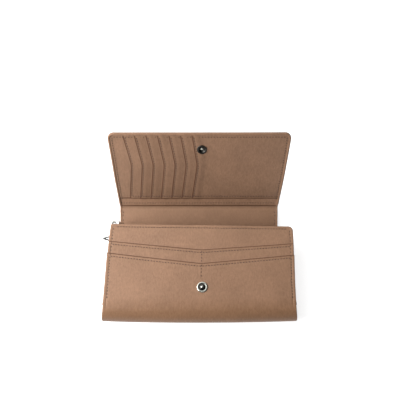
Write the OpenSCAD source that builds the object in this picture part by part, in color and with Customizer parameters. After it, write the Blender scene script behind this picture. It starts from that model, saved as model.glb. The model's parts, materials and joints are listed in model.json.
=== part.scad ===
// Long flap wallet with card panels, two note compartments, a zipped coin pocket and a side strap ring.
// Millimetres. The wallet lies on its back: X runs along the width, Y from the bottom fold to the
// folding spine, Z up through the thickness. The origin is the centre of the flat back face.
// The flap stands half open; the front wall and the coin pocket are raised by the relaxed gussets.

/* [Body] */

// Width of the front wall and of the bottom fold
body_w = 190; // [150:1:230]
// Width of the back at its top edge, where the spine starts
back_top_w = 181; // [140:1:230]
// Height of the front wall from the bottom fold
front_h = 96.2; // [70:0.2:110]
// Height of the fold axis between back and spine, from the bottom fold
spine_y = 106.2; // [80:0.1:120]
// Outer radius of the bottom fold, half the closed body thickness
fold_r = 11.2; // [9:0.1:15]
// Outer leather thickness
leather_t = 1.6; // [1:0.1:2.4]
// Lining thickness
lining_t = 0.8; // [0.5:0.1:1.2]
// Corner radius of the front wall
front_corner_r = 5; // [2:0.5:12]

/* [Rest pose] */

// Angle between back and spine, 90 when closed
spine_angle = 35.4; // [0:0.1:90]
// Angle between spine and flap, 90 when closed
flap_angle = 35.4; // [0:0.1:90]
// How far the gussets lift the front wall, 0 when closed
front_angle = 7.8; // [0:0.1:12]

/* [Spine and flap] */

// Distance between the two fold axes
spine_l = 25; // [18:0.5:40]
// Width of the spine
spine_w = 180; // [140:1:230]
// Length of the flap from its fold axis
flap_l = 94.2; // [70:0.1:115]
// Width of the flap at its free edge
flap_free_w = 183; // [140:1:230]
// Corner radius of the flap's free edge
flap_corner_r = 6.5; // [2:0.5:20]
// Width of the turned leather edge on the flap
turned_w = 2.5; // [2:0.5:6]
// Height of the turned edge over the lining
turned_h = 2.2; // [1:0.1:3]

/* [Card panels] */

// Number of chevron card panels
panel_count = 7; // [1:1:9]
// Spacing of the panel edges
panel_pitch = 11.4; // [8:0.1:20]
// First panel tip from the flap's centre line
panel_first_x = -71.6; // [-90:0.1:0]
// Depth of the chevron
chevron_d = 5.4; // [0:0.1:12]
// Panel material thickness
panel_t = 0.7; // [0.4:0.1:1.5]
// How far each panel lies over the one before
panel_lap = 6; // [3:0.5:11]
// Lower free edge of the card panels, from the flap's fold axis
panel_low_y = 12.6; // [5:0.1:40]
// Height of the chevron tips, from the flap's fold axis
panel_tip_y = 56.9; // [20:0.1:90]
// Lower free edge of the long pocket behind the card panels
long_pocket_y = 3; // [2.7:0.1:20]
// Long pocket material thickness
long_pocket_t = 0.6; // [0.4:0.1:1.5]

/* [Front pockets] */

// Thickness of each front pocket
pocket_t = 0.9; // [0.5:0.1:1.5]
// Upper pocket edge at the sides, from the bottom fold
upper_side_y = 77.2; // [40:0.1:90]
// Upper pocket edge at the centre
upper_mid_y = 69.2; // [40:0.1:90]
// Lower pocket edge at the sides
lower_side_y = 64.6; // [30:0.1:80]
// Lower pocket edge at the centre
lower_mid_y = 54.6; // [30:0.1:80]

/* [Snap] */

// Snap centre, to the right of the centre line
snap_x = 2.4; // [-20:0.1:20]
// Stud centre from the bottom fold
stud_y = 30.3; // [10:0.1:60]
// Stud flange diameter
stud_d = 10.6; // [8:0.1:15]
// Stud post diameter
post_d = 4.2; // [3:0.1:6]
// Stud post height over its flange
post_h = 1.9; // [1:0.1:3]
// Socket flange diameter
socket_d = 10; // [8:0.1:15]
// Socket bore diameter
socket_bore_d = 5.8; // [4:0.1:8]

/* [Coin pocket] */

// Width of the coin pocket
coin_w = 180; // [120:1:220]
// Top edge of the coin pocket walls, from the bottom fold
coin_top_y = 91.6; // [60:0.1:95]
// Room inside the coin pocket
coin_gap = 5.2; // [4:0.1:12]
// Coin pocket wall thickness
coin_wall_t = 1.2; // [0.8:0.1:2]
// Length of the toothed part of the zip
zip_l = 162; // [80:1:200]
// Spacing of the zip teeth
tooth_pitch = 2.25; // [1.5:0.05:4]
// Length of the zip slider
slider_l = 9; // [6:0.5:14]
// Length of the zip pull tab from its axis
pull_l = 9; // [6:0.5:10]

/* [Strap ring] */

// Wire radius of the thin square loop
loop_wire_r = 0.6; // [0.4:0.1:1]
// Length of the loop between its bars
loop_l = 6.6; // [6:0.1:14]
// Half the loop's width between its side wires
loop_half_w = 7.5; // [4.5:0.1:8]
// Wire radius of the long link
link_wire_r = 0.7; // [0.5:0.1:1.2]
// Length of the link between its end centres
link_l = 18; // [8:0.5:25]
// Width of the triangular ring's stock
ring_stock_w = 1.8; // [1.4:0.1:2.2]
// Thickness of the triangular ring's stock
ring_t = 1.6; // [1.2:0.1:1.8]
// Half the length of the ring's straight bar
ring_half_w = 7; // [5:0.5:10]
// Reach of the ring from its bar to its tip
ring_reach = 9.5; // [7:0.5:14]

/* [Hidden] */

$fn = 48;
shell_t = leather_t + lining_t;
closed_t = 2 * fold_r;
fold_gap = 0.25;
fold_clear = shell_t + fold_gap;
play = 0.3;
skin_inset = 1;
front_low_y = fold_r;
origin_y = (front_low_y + spine_y - fold_clear) / 2;
mid_z = fold_r;
coin_angle = front_angle / 2;
coin_half_t = coin_gap / 2 + coin_wall_t;
coin_low_y = fold_r + 3;
coin_edge_w = 4;
tape_t = 0.6;
tape_inner_half = 1.1;
teeth_gap_half = 0.6;
tooth_t = 1;
tooth_h = 1.4;
tooth_l = 1.2;
teeth_y = coin_top_y + 1;
plate_t = 0.8;
slider_top_y = teeth_y + tooth_h + play;
slider_x = -zip_l / 2 + slider_l / 2 + 1.5;
web_t = 0.5;
bridge_open_h = 1.6;
bridge_t = 0.6;
pull_axis_y = slider_top_y + plate_t + bridge_open_h / 2;
pull_bar_r = 0.5;
tab_x = -coin_w / 2 + 2.8;
tab_half_t = 1.4;
tab_w = 5;
loop_y = 104.4;
ring_y = loop_y - link_l;
link_shift = 0.6;
ring_x = tab_x - loop_l - link_shift;
link_r = 2.1;
link_lean = atan2(link_shift, link_l);
pocket_outer_z = closed_t + 2 * pocket_t;
snap_flap_y = spine_y - stud_y;
rim_inset = turned_w;
gusset_x = body_w / 2 - 6;
gusset_t = 0.8;

// ---- frames -------------------------------------------------------------------------------

// Moves from bottom-fold coordinates to the part's own origin
module part_frame() {
  translate([0, -origin_y, 0]) children();
}

// Turns children about the axis of the bottom fold
module raised(angle) {
  part_frame()
    translate([0, fold_r, fold_r])
      rotate([angle, 0, 0])
        translate([0, -fold_r, -fold_r])
          children();
}

module coin_frame() {
  raised(coin_angle) children();
}

module front_frame() {
  raised(front_angle) children();
}

// Origin on the first fold axis, Y along the spine, Z towards the inside
module spine_frame() {
  part_frame()
    translate([0, spine_y, shell_t])
      rotate([spine_angle, 0, 0])
        children();
}

// Origin on the second fold axis, Y towards the flap's free edge
module flap_frame() {
  spine_frame()
    translate([0, spine_l, 0])
      rotate([flap_angle, 0, 0])
        children();
}

// ---- shared shapes ------------------------------------------------------------------------

// Plate between two heights with a flat outline
module slab(low, high) {
  translate([0, 0, low]) linear_extrude(high - low) children();
}

// Outline that tapers from one width to another
module tapered_outline(w_low, w_high, y_low, y_high) {
  polygon([
    [-w_low / 2, y_low], [w_low / 2, y_low],
    [w_high / 2, y_high], [-w_high / 2, y_high]
  ]);
}

// Width of the flap at a distance from its fold axis
function flap_w(y) = spine_w + (flap_free_w - spine_w) * y / flap_l;

// Flap outline, inset on three sides, with round free corners
module flap_outline(inset, y_low) {
  r = max(flap_corner_r - inset, 1);
  w_low = flap_w(y_low) / 2 - inset;
  w_high = flap_w(flap_l) / 2 - inset;
  y_high = flap_l - inset;
  polygon([[-w_low, y_low], [w_low, y_low], [w_high, y_high - r], [-w_high, y_high - r]]);
  for (side = [-1, 1])
    translate([side * (w_high - r), y_high - r]) circle(r);
  translate([-(w_high - r), y_high - 2 * r]) square([2 * (w_high - r), 2 * r]);
}

// Front wall outline with rounded top corners
module front_outline(inset, y_low) {
  w = body_w / 2 - inset;
  y_high = front_h - inset;
  translate([-w, y_low]) square([2 * w, y_high - front_corner_r - y_low]);
  translate([-w + front_corner_r, y_low]) square([2 * (w - front_corner_r), y_high - y_low]);
  for (side = [-1, 1])
    translate([side * (w - front_corner_r), y_high - front_corner_r]) circle(front_corner_r);
}

// Part of a tube round the axis of the bottom fold; angles are seen along X, from +Y towards +Z
module fold_shell(r_in, r_out, start, turn, w) {
  translate([-w / 2, fold_r, fold_r])
    rotate([90, 0, 90])
      rotate([0, 0, start])
        rotate_extrude(angle = turn)
          translate([r_in, 0]) square([r_out - r_in, w]);
}

// Round bar along Z
module z_bar(x, y, half_l, r) {
  translate([x, y, mid_z - half_l]) cylinder(h = 2 * half_l, r = r, $fn = 24);
}

// ---- back body ----------------------------------------------------------------------------

module back_leather() {
  color([0.66, 0.50, 0.40])
    part_frame()
      slab(0, leather_t)
        tapered_outline(body_w, back_top_w, front_low_y, spine_y - fold_clear);
}

module back_lining() {
  color([0.56, 0.43, 0.35])
    part_frame()
      slab(leather_t, shell_t)
        tapered_outline(body_w - 2 * skin_inset, back_top_w - 2 * skin_inset,
                        front_low_y, spine_y - fold_clear);
}

module bottom_wrap() {
  wrap_end_gap = 26;
  color([0.63, 0.47, 0.37])
    part_frame()
      fold_shell(fold_r - leather_t, fold_r, 90 + wrap_end_gap, 180 - wrap_end_gap, body_w);
}

// Side panel between the back lining and the coin pocket
module rear_gusset(side) {
  y_low = coin_low_y + 2;
  y_high = coin_top_y - 2;
  drop = mid_z - coin_half_t - play;
  color([0.60, 0.46, 0.37])
    part_frame()
      translate([side * gusset_x - gusset_t / 2, 0, 0])
        rotate([90, 0, 90])
          linear_extrude(gusset_t)
            polygon([
              [y_low, shell_t],
              [y_high, shell_t],
              [y_high, drop + (y_high - fold_r) * tan(coin_angle) - play],
              [y_low, drop + (y_low - fold_r) * tan(coin_angle) - play]
            ]);
}

module rear_gusset_left() {
  rear_gusset(-1);
}

module rear_gusset_right() {
  rear_gusset(1);
}

// ---- coin pocket --------------------------------------------------------------------------

module coin_wall(low) {
  color([0.60, 0.46, 0.37])
    coin_frame()
      slab(low, low + coin_wall_t)
        translate([-coin_w / 2, coin_low_y]) square([coin_w, coin_top_y - coin_low_y]);
}

module coin_back_wall() {
  coin_wall(mid_z - coin_half_t);
}

module coin_front_wall() {
  coin_wall(mid_z + coin_half_t - coin_wall_t);
}

// Sewn edge that closes the pocket at both sides and at the bottom
module coin_edge_binding() {
  inner_w = coin_w - 2 * coin_edge_w;
  color([0.55, 0.41, 0.33])
    coin_frame()
      slab(mid_z - coin_gap / 2, mid_z + coin_gap / 2)
        difference() {
          translate([-coin_w / 2, coin_low_y]) square([coin_w, coin_top_y - coin_low_y]);
          translate([-inner_w / 2, coin_low_y + coin_edge_w]) square([inner_w, coin_top_y]);
        }
}

// Woven tape, sewn inside the wall and folded in over the mouth
module zip_tape(side) {
  tape_len = zip_l + 8;
  sewn_h = 7;
  wall_face = coin_gap / 2;
  color([0.42, 0.32, 0.26])
    coin_frame()
      translate([0, 0, mid_z])
        rotate([0, -90, 0])
          translate([0, 0, -tape_len / 2])
            linear_extrude(tape_len)
              polygon([
                [side * wall_face, coin_top_y - sewn_h],
                [side * wall_face, coin_top_y + tape_t],
                [side * tape_inner_half, coin_top_y + tape_t],
                [side * tape_inner_half, coin_top_y],
                [side * (wall_face - tape_t), coin_top_y],
                [side * (wall_face - tape_t), coin_top_y - sewn_h]
              ]);
}

module zip_tape_back() {
  zip_tape(-1);
}

module zip_tape_front() {
  zip_tape(1);
}

// Row of moulded teeth on a cord, one half of the zip
module zip_teeth(side) {
  count = floor(zip_l / tooth_pitch);
  cord_h = teeth_y - coin_top_y - tape_t;
  low = side > 0 ? mid_z + teeth_gap_half : mid_z - teeth_gap_half - tooth_t;
  shift = side > 0 ? tooth_pitch / 2 : 0;
  color([0.50, 0.40, 0.33])
    coin_frame() {
      translate([-zip_l / 2, coin_top_y + tape_t, low + (side > 0 ? 0.5 : 0)])
        cube([zip_l, cord_h + 0.3, tooth_t - 0.5]);
      for (i = [0:count - 2])
        translate([-zip_l / 2 + i * tooth_pitch + shift, teeth_y, low])
          cube([tooth_l, tooth_h, tooth_t]);
    }
}

module zip_teeth_back() {
  zip_teeth(-1);
}

module zip_teeth_front() {
  zip_teeth(1);
}

// Metal stop at each end of the zip
module zip_stops() {
  stop_l = 2;
  stop_half = 2;
  color([0.72, 0.72, 0.74])
    coin_frame()
      for (x = [-zip_l / 2 - stop_l - 0.2, zip_l / 2 + 0.2])
        translate([x, coin_top_y + tape_t, mid_z - stop_half])
          cube([stop_l, tooth_h + 0.4, 2 * stop_half]);
}

// Two plates joined by a web, with a bridge that holds the pull
module zip_slider() {
  half_w = 2.8;
  inner_half = 1.7;
  web_l = 3;
  low_y = coin_top_y - play - plate_t;
  top_y = slider_top_y;
  bridge_l = 6.4;
  bridge_open_l = 4;
  bridge_w = 1.6;
  color([0.78, 0.78, 0.80])
    coin_frame()
      translate([slider_x, 0, mid_z]) {
        translate([-slider_l / 2, top_y, -half_w]) cube([slider_l, plate_t, 2 * half_w]);
        translate([-slider_l / 2, low_y, -inner_half]) cube([slider_l, plate_t, 2 * inner_half]);
        translate([-web_l / 2, low_y, -web_t / 2]) cube([web_l, top_y - low_y + plate_t, web_t]);
        difference() {
          translate([-bridge_l / 2, top_y + plate_t - 0.01, -bridge_w / 2])
            cube([bridge_l, bridge_open_h + bridge_t + 0.01, bridge_w]);
          translate([-bridge_open_l / 2, top_y + plate_t, -bridge_w])
            cube([bridge_open_l, bridge_open_h, 2 * bridge_w]);
        }
      }
}

// Flat pull tab with a bar under the slider's bridge
module zip_pull() {
  half_w = 2.3;
  tab_t = 0.8;
  open_half = 1.25;
  open_end = 4.1;
  color([0.78, 0.78, 0.80])
    coin_frame()
      translate([slider_x, pull_axis_y, mid_z]) {
        translate([0, 0, -half_w]) cylinder(h = 2 * half_w, r = pull_bar_r, $fn = 24);
        difference() {
          translate([-pull_l, -tab_t / 2, -half_w]) cube([pull_l, tab_t, 2 * half_w]);
          translate([-open_end, -tab_t, -open_half]) cube([open_end + 1, 2 * tab_t, 2 * open_half]);
        }
      }
}

// Side panel between the coin pocket and the front lining
module front_gusset(side) {
  y_low = coin_low_y + 2;
  y_high = coin_top_y - 2;
  rise = mid_z + coin_half_t;
  top = closed_t - shell_t;
  color([0.60, 0.46, 0.37])
    coin_frame()
      translate([side * gusset_x - gusset_t / 2, 0, 0])
        rotate([90, 0, 90])
          linear_extrude(gusset_t)
            polygon([
              [y_low, rise],
              [y_high, rise],
              [y_high, top + (y_high - fold_r) * tan(coin_angle) - play],
              [y_low, top + (y_low - fold_r) * tan(coin_angle) - play]
            ]);
}

module front_gusset_left() {
  front_gusset(-1);
}

module front_gusset_right() {
  front_gusset(1);
}

// ---- strap ring ---------------------------------------------------------------------------

// Leather tab that holds the loop's inner bar
module side_tab() {
  hole_r = loop_wire_r + 0.08;
  color([0.60, 0.45, 0.36])
    coin_frame()
      difference() {
        union() {
          translate([tab_x - 1.2, coin_top_y, mid_z - tab_w / 2])
            cube([2.4, loop_y - coin_top_y, tab_w]);
          z_bar(tab_x, loop_y, tab_w / 2, tab_half_t);
        }
        z_bar(tab_x, loop_y, tab_w, hole_r);
      }
}

// Square loop of thin wire
module strap_loop() {
  far_x = tab_x - loop_l;
  color([0.75, 0.75, 0.76])
    coin_frame() {
      for (x = [tab_x, far_x])
        z_bar(x, loop_y, loop_half_w, loop_wire_r);
      for (side = [-1, 1])
        translate([far_x, loop_y, mid_z + side * loop_half_w]) {
          rotate([0, 90, 0]) cylinder(h = loop_l, r = loop_wire_r, $fn = 24);
          sphere(loop_wire_r, $fn = 24);
          translate([loop_l, 0, 0]) sphere(loop_wire_r, $fn = 24);
        }
    }
}

// Long closed link that hangs from the loop's outer bar
module strap_link() {
  color([0.62, 0.62, 0.64])
    coin_frame()
      translate([tab_x - loop_l, loop_y, mid_z])
        rotate([0, 0, -link_lean]) {
          for (end = [0, 1])
            translate([0, -end * link_l, 0])
              rotate([0, 0, end * 180])
                rotate_extrude(angle = 180)
                  translate([link_r, 0]) circle(link_wire_r, $fn = 20);
          for (side = [-1, 1])
            translate([side * link_r, 0, 0])
              rotate([90, 0, 0]) cylinder(h = link_l, r = link_wire_r, $fn = 20);
        }
}

// Straight bar with round ends, drawn flat between two points
module flat_bar(from, to, w) {
  step = to - from;
  length = norm(step);
  translate(from)
    rotate([0, 0, atan2(step[1], step[0])]) {
      translate([0, -w / 2]) square([length, w]);
      circle(d = w, $fn = 24);
      translate([length, 0]) circle(d = w, $fn = 24);
    }
}

// Triangular ring for a wrist strap
module strap_ring() {
  rise = 4;
  pivot_r = ring_stock_w / 2 + 0.1;
  inner_end = [-ring_half_w, 0];
  outer_end = [ring_half_w, 0];
  tip = [0, ring_reach];
  color([0.55, 0.55, 0.57])
    coin_frame()
      translate([ring_x, ring_y, mid_z]) {
        translate([0, 0, -ring_half_w]) cylinder(h = 2 * ring_half_w, r = pivot_r, $fn = 32);
        rotate([0, 0, -rise])
          rotate([90, -90, 0])
            translate([0, 0, -ring_t / 2])
              linear_extrude(ring_t) {
                flat_bar(inner_end, outer_end, ring_stock_w);
                flat_bar(inner_end, tip, ring_stock_w);
                flat_bar(outer_end, tip, ring_stock_w);
              }
      }
}

// ---- front wall ---------------------------------------------------------------------------

// Hole for the stud's rivet through a front layer
module rivet_hole() {
  translate([snap_x, stud_y]) circle(d = post_d);
}

module front_leather() {
  color([0.66, 0.50, 0.40])
    front_frame()
      slab(closed_t - leather_t, closed_t)
        difference() {
          front_outline(0, front_low_y);
          rivet_hole();
        }
}

module front_lining() {
  lining_low = closed_t - shell_t;
  hidden_turn = 46;
  wrap_clear = 0.4;
  inner_r = fold_r - leather_t - wrap_clear;
  color([0.56, 0.43, 0.35])
    front_frame() {
      slab(lining_low, lining_low + lining_t)
        difference() {
          front_outline(skin_inset, front_low_y);
          rivet_hole();
        }
      fold_shell(inner_r - lining_t, inner_r, 90, hidden_turn, body_w - 2 * skin_inset);
      translate([-body_w / 2 + skin_inset, front_low_y, fold_r + inner_r - lining_t])
        cube([body_w - 2 * skin_inset, 2, lining_low - fold_r - inner_r + lining_t + 0.1]);
    }
}

// Card pocket on the front, with a top edge that dips at the centre
module front_pocket(low, side_y, mid_y) {
  w = body_w / 2 - skin_inset;
  color([0.67, 0.51, 0.41])
    front_frame()
      slab(low, low + pocket_t)
        difference() {
          polygon([[-w, front_low_y], [w, front_low_y], [w, side_y], [0, mid_y], [-w, side_y]]);
          rivet_hole();
        }
}

module upper_pocket() {
  front_pocket(closed_t, upper_side_y, upper_mid_y);
}

module lower_pocket() {
  front_pocket(closed_t + pocket_t, lower_side_y, lower_mid_y);
}

// Flange, groove and post of the snap, riveted through the front wall
module snap_stud() {
  flange_h = 0.6;
  groove_d = post_d + 1.8;
  lining_low = closed_t - shell_t;
  color([0.80, 0.80, 0.81])
    front_frame()
      translate([snap_x, stud_y, 0]) {
        translate([0, 0, lining_low])
          cylinder(h = pocket_outer_z - lining_low, d = post_d);
        difference() {
          translate([0, 0, pocket_outer_z]) cylinder(h = flange_h, d = stud_d);
          translate([0, 0, pocket_outer_z + flange_h / 2]) cylinder(h = flange_h, d = groove_d);
        }
        translate([0, 0, pocket_outer_z]) cylinder(h = flange_h + post_h - 0.7, d = post_d);
        translate([0, 0, pocket_outer_z + flange_h + post_h - 0.7])
          cylinder(h = 0.7, d1 = post_d, d2 = post_d - 1.2);
      }
}

// Washer under the stud, inside the note compartment
module stud_back_plate() {
  washer_t = 0.5;
  color([0.62, 0.62, 0.64])
    front_frame()
      translate([snap_x, stud_y, closed_t - shell_t - washer_t])
        cylinder(h = washer_t, d = stud_d - 1.6);
}

// ---- spine --------------------------------------------------------------------------------

module spine_leather() {
  color([0.66, 0.50, 0.40])
    spine_frame()
      difference() {
        union() {
          translate([-spine_w / 2, 0, -shell_t]) cube([spine_w, spine_l, shell_t]);
          for (y = [0, spine_l])
            translate([-spine_w / 2, y, 0])
              rotate([0, 90, 0]) cylinder(h = spine_w, r = shell_t);
        }
        translate([-spine_w / 2 - 1, -shell_t - 1, 0])
          cube([spine_w + 2, spine_l + 2 * shell_t + 2, shell_t + 1]);
        translate([-spine_w / 2 + skin_inset, 0, -lining_t])
          cube([spine_w - 2 * skin_inset, spine_l, lining_t + 1]);
      }
}

module spine_lining() {
  color([0.56, 0.43, 0.35])
    spine_frame()
      translate([-spine_w / 2 + skin_inset, 0, -lining_t])
        cube([spine_w - 2 * skin_inset, spine_l, lining_t]);
}

// ---- flap ---------------------------------------------------------------------------------

// Hole on the snap's axis through a flap layer
module snap_hole(d) {
  translate([snap_x, snap_flap_y]) circle(d = d);
}

// Outer leather with its edge turned over on three sides
module flap_leather() {
  shank_d = 4;
  color([0.66, 0.50, 0.40])
    flap_frame() {
      slab(-shell_t, -lining_t)
        difference() {
          flap_outline(0, fold_clear);
          snap_hole(shank_d);
        }
      slab(-lining_t, turned_h)
        difference() {
          flap_outline(0, fold_clear);
          flap_outline(rim_inset, fold_clear - 1);
        }
    }
}

module flap_lining() {
  color([0.56, 0.43, 0.35])
    flap_frame()
      slab(-lining_t, 0)
        difference() {
          flap_outline(rim_inset, fold_clear);
          snap_hole(socket_bore_d + 1.2);
        }
}

// Full-width pocket behind the card panels
module long_pocket() {
  color([0.62, 0.47, 0.38])
    flap_frame()
      slab(0, long_pocket_t)
        difference() {
          flap_outline(rim_inset, long_pocket_y);
          snap_hole(socket_bore_d + 1.2);
        }
}

// Band that starts at a chevron edge and ends at a later chevron or at the flap's edge
module chevron_band(tip_x, length) {
  y_high = flap_l;
  far = tip_x + length;
  polygon([
    [tip_x - chevron_d, panel_low_y], [tip_x, panel_tip_y], [tip_x - chevron_d, y_high],
    [far - chevron_d, y_high], [far, panel_tip_y], [far - chevron_d, panel_low_y]
  ]);
}

// Card panel: its edge lies over the panel before it, its tail under the one after it
module card_panel(index) {
  tip_x = panel_first_x + (index - 1) * panel_pitch;
  last = index == panel_count;
  tail_inset = panel_lap - 1;
  tail_start = index == 1 ? 0 : tail_inset;
  tail_end = last ? flap_free_w : panel_pitch + tail_inset - play;
  shade = 0.66 - 0.008 * index;
  color([shade, shade - 0.16, shade - 0.26])
    flap_frame()
      difference() {
        union() {
          slab(long_pocket_t + panel_t, long_pocket_t + 2 * panel_t)
            intersection() {
              flap_outline(rim_inset, panel_low_y);
              chevron_band(tip_x, panel_lap);
            }
          slab(long_pocket_t, long_pocket_t + panel_t)
            intersection() {
              flap_outline(rim_inset, panel_low_y);
              chevron_band(tip_x + tail_start, tail_end - tail_start);
            }
        }
        translate([0, 0, -shell_t])
          linear_extrude(4 * shell_t) snap_hole(socket_bore_d + 1.2);
      }
}

module card_panel_1() {
  card_panel(1);
}

module card_panel_2() {
  card_panel(2);
}

module card_panel_3() {
  card_panel(3);
}

module card_panel_4() {
  card_panel(4);
}

module card_panel_5() {
  card_panel(5);
}

module card_panel_6() {
  card_panel(6);
}

module card_panel_7() {
  card_panel(7);
}

// Female half of the snap, set through the flap's inner layers
module snap_socket() {
  body_d = socket_bore_d + 1.2;
  seat_z = long_pocket_t + 2 * panel_t;
  face_z = seat_z + 0.3;
  floor_z = -0.2;
  color([0.35, 0.35, 0.37])
    flap_frame()
      translate([snap_x, snap_flap_y, 0])
        difference() {
          union() {
            translate([0, 0, -lining_t]) cylinder(h = face_z + lining_t, d = body_d);
            translate([0, 0, seat_z]) cylinder(h = face_z - seat_z, d = socket_d);
          }
          translate([0, 0, floor_z]) cylinder(h = face_z + 1, d = socket_bore_d);
        }
}

// Domed cap on the outside of the flap, with its shank through the leather
module snap_cap() {
  cap_r = 6;
  cap_h = 1.2;
  shank_d = 4;
  dome_r = (cap_r * cap_r + cap_h * cap_h) / (2 * cap_h);
  color([0.80, 0.80, 0.81])
    flap_frame()
      translate([snap_x, snap_flap_y, -shell_t]) {
        cylinder(h = leather_t, d = shank_d);
        intersection() {
          translate([0, 0, dome_r - cap_h]) sphere(dome_r, $fn = 96);
          translate([0, 0, -cap_h - 1]) cylinder(h = cap_h + 1, r = cap_r + 1);
        }
      }
}

// ---- nodes --------------------------------------------------------------------------------

back_leather();
back_lining();
bottom_wrap();
rear_gusset_left();
rear_gusset_right();
coin_back_wall();
coin_front_wall();
coin_edge_binding();
zip_tape_back();
zip_tape_front();
zip_teeth_back();
zip_teeth_front();
zip_stops();
zip_slider();
zip_pull();
front_gusset_left();
front_gusset_right();
side_tab();
strap_loop();
strap_link();
strap_ring();
front_leather();
front_lining();
upper_pocket();
lower_pocket();
snap_stud();
stud_back_plate();
spine_leather();
spine_lining();
flap_leather();
flap_lining();
long_pocket();
card_panel_1();
card_panel_2();
card_panel_3();
card_panel_4();
card_panel_5();
card_panel_6();
card_panel_7();
snap_socket();
snap_cap();
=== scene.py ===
"""Looks of the long flap wallet: soft leather sheets, stitches, zip and small metal parts.

Leather is laid out flat first, in millimetres, and then bent round the wallet's folds.
"""
import json
import math
import random

import bmesh
import bpy
from mathutils import Matrix, Vector, noise


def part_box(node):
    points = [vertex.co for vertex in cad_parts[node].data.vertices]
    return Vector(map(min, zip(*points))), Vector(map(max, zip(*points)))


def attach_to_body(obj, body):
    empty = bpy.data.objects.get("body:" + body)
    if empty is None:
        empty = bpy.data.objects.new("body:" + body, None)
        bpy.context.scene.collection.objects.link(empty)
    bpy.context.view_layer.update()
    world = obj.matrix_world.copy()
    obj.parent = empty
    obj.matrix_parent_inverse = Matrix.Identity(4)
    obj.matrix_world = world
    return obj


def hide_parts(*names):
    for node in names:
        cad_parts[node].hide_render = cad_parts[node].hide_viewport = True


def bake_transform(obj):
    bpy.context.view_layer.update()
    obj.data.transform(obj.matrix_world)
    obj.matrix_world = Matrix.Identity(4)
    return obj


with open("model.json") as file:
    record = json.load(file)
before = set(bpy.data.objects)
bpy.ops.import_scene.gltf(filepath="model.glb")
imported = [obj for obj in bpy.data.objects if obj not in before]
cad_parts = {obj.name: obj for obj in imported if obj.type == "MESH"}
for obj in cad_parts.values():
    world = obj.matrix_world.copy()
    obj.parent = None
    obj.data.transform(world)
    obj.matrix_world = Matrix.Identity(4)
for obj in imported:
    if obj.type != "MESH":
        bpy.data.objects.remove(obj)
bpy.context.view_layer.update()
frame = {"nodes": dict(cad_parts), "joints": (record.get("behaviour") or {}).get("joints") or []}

MM = 0.001
JOINTS = {joint["name"]: joint for joint in frame["joints"]}


def pivot(joint):
    """A joint's place in millimetres."""
    return Vector(JOINTS[joint]["pos_m"]) / MM


def node_box(node):
    """A CAD node's lowest and highest corner in millimetres."""
    low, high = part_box(node)
    return low / MM, high / MM


# ---- the wallet's own measures, in millimetres and radians ---------------------------------

FOLD = pivot("front_open")
SPINE = pivot("spine_fold")
FLAP = pivot("flap_fold")
SPINE_REST = math.radians(90 - JOINTS["spine_fold"]["range_deg"][1])
FLAP_REST = math.radians(90 - JOINTS["flap_fold"]["range_deg"][1])
FRONT_REST = math.radians(-JOINTS["front_open"]["range_deg"][0])
COIN_REST = FRONT_REST / 2
FOLD_R = FOLD.z
ARC = math.pi * FOLD_R
SPINE_L = (FLAP - SPINE).length
BEND = 4.5
FOLD_BULGE = 1.6
FOLD_REACH = 9.4

# Height of the slow waves in the soft leather
FLAP_WAVE = 0.5
SPINE_WAVE = 0.35
FRONT_WAVE = 0.7

LEATHER_T = 1.6
SHELL_T = SPINE.z
POCKET_T = 0.9
BODY_HALF = node_box("bottom_wrap")[1].x
SPINE_HALF = node_box("spine_leather")[1].x
FLAP_HALF = node_box("flap_leather")[1].x
BACK_TOP_HALF = 90.5
FLAP_L = 94.2
FRONT_H = 96.2
FLAP_CORNER = 6.5
BORDER_W = 2.5
RIM_H = 1.45
SPINE_RIM_H = 0.3
BACK_SEAM_S = -46.0
MID_SPINE = SPINE_L / 2
SPINE_DRAWN = 0.7

PANEL_COUNT = 7
PANEL_PITCH = 11.4
PANEL_FIRST_X = -71.6
CHEVRON_D = 5.4
PANEL_LOW = 12.6
PANEL_TIP = 56.9
PANEL_T = 0.5
LONG_POCKET_LOW = 1.6
LONG_POCKET_T = 0.6
LONG_SEAM = 4.3

UPPER_EDGE = (77.2, 69.2)
LOWER_EDGE = (64.6, 54.6)
FRONT_SKEW = 0.0155
FRONT_LEAN = 2.3
FRONT_IN = 1.4
FRONT_SPREAD = 2.2
EDGE_APEX_X = 1.0
SNAP_X = 2.4
STUD_Y = 30.3
SNAP_FLAP_S = 75.9

COIN_HALF = node_box("coin_front_wall")[1].x
COIN_LOW = 14.2
COIN_TOP = 91.6
COIN_GAP_HALF = 2.6
COIN_GAP_EDGE = 0.12
COIN_SEAM = 2.6
COIN_THREAD_H = 1.1
COIN_WALL_T = 1.2
COIN_MID = FOLD_R

STITCH_PITCH = 2.9
EDGE_SEAM = 3.3
CHEVRON_SEAM = 2.2
RIM_SEAM = 4.2

# Dark band along a cut edge, edge dye widened with painted shade of the gap below the edge: dark up to 0.45
# of this width, and gone at 0.85 of it
LOW_CUT_W = 2.3
PANEL_CUT_W = 1.9
POCKET_CUT_W = 1.5


def smooth(t):
    """0 below 0, 1 above 1, and a smooth step between."""
    t = min(max(t, 0.0), 1.0)
    return t * t * (3 - 2 * t)


def turned(y, z, centre, angle):
    """A point of the YZ plane turned about a centre."""
    dy = y - centre.y
    dz = z - centre.z
    c = math.cos(angle)
    s = math.sin(angle)
    return centre.y + dy * c - dz * s, centre.z + dy * s + dz * c


# ---- layouts: where a point of flat leather lies on the wallet ------------------------------

FOLD_NORMAL = Vector((0, -math.sin(COIN_REST), math.cos(COIN_REST)))


def fold_weight(y, z):
    """0 on the back, 1 on the front wall: the share of the opening turn that a point makes."""
    away = (y - FOLD.y) * FOLD_NORMAL.y + (z - FOLD.z) * FOLD_NORMAL.z
    return smooth(0.5 + away / (2 * FOLD_REACH))


def soft_wave(x, s, seed, height):
    """A slow unevenness of worn leather."""
    return height * noise.noise(Vector((x / 46.0, s / 38.0, seed)))


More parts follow.
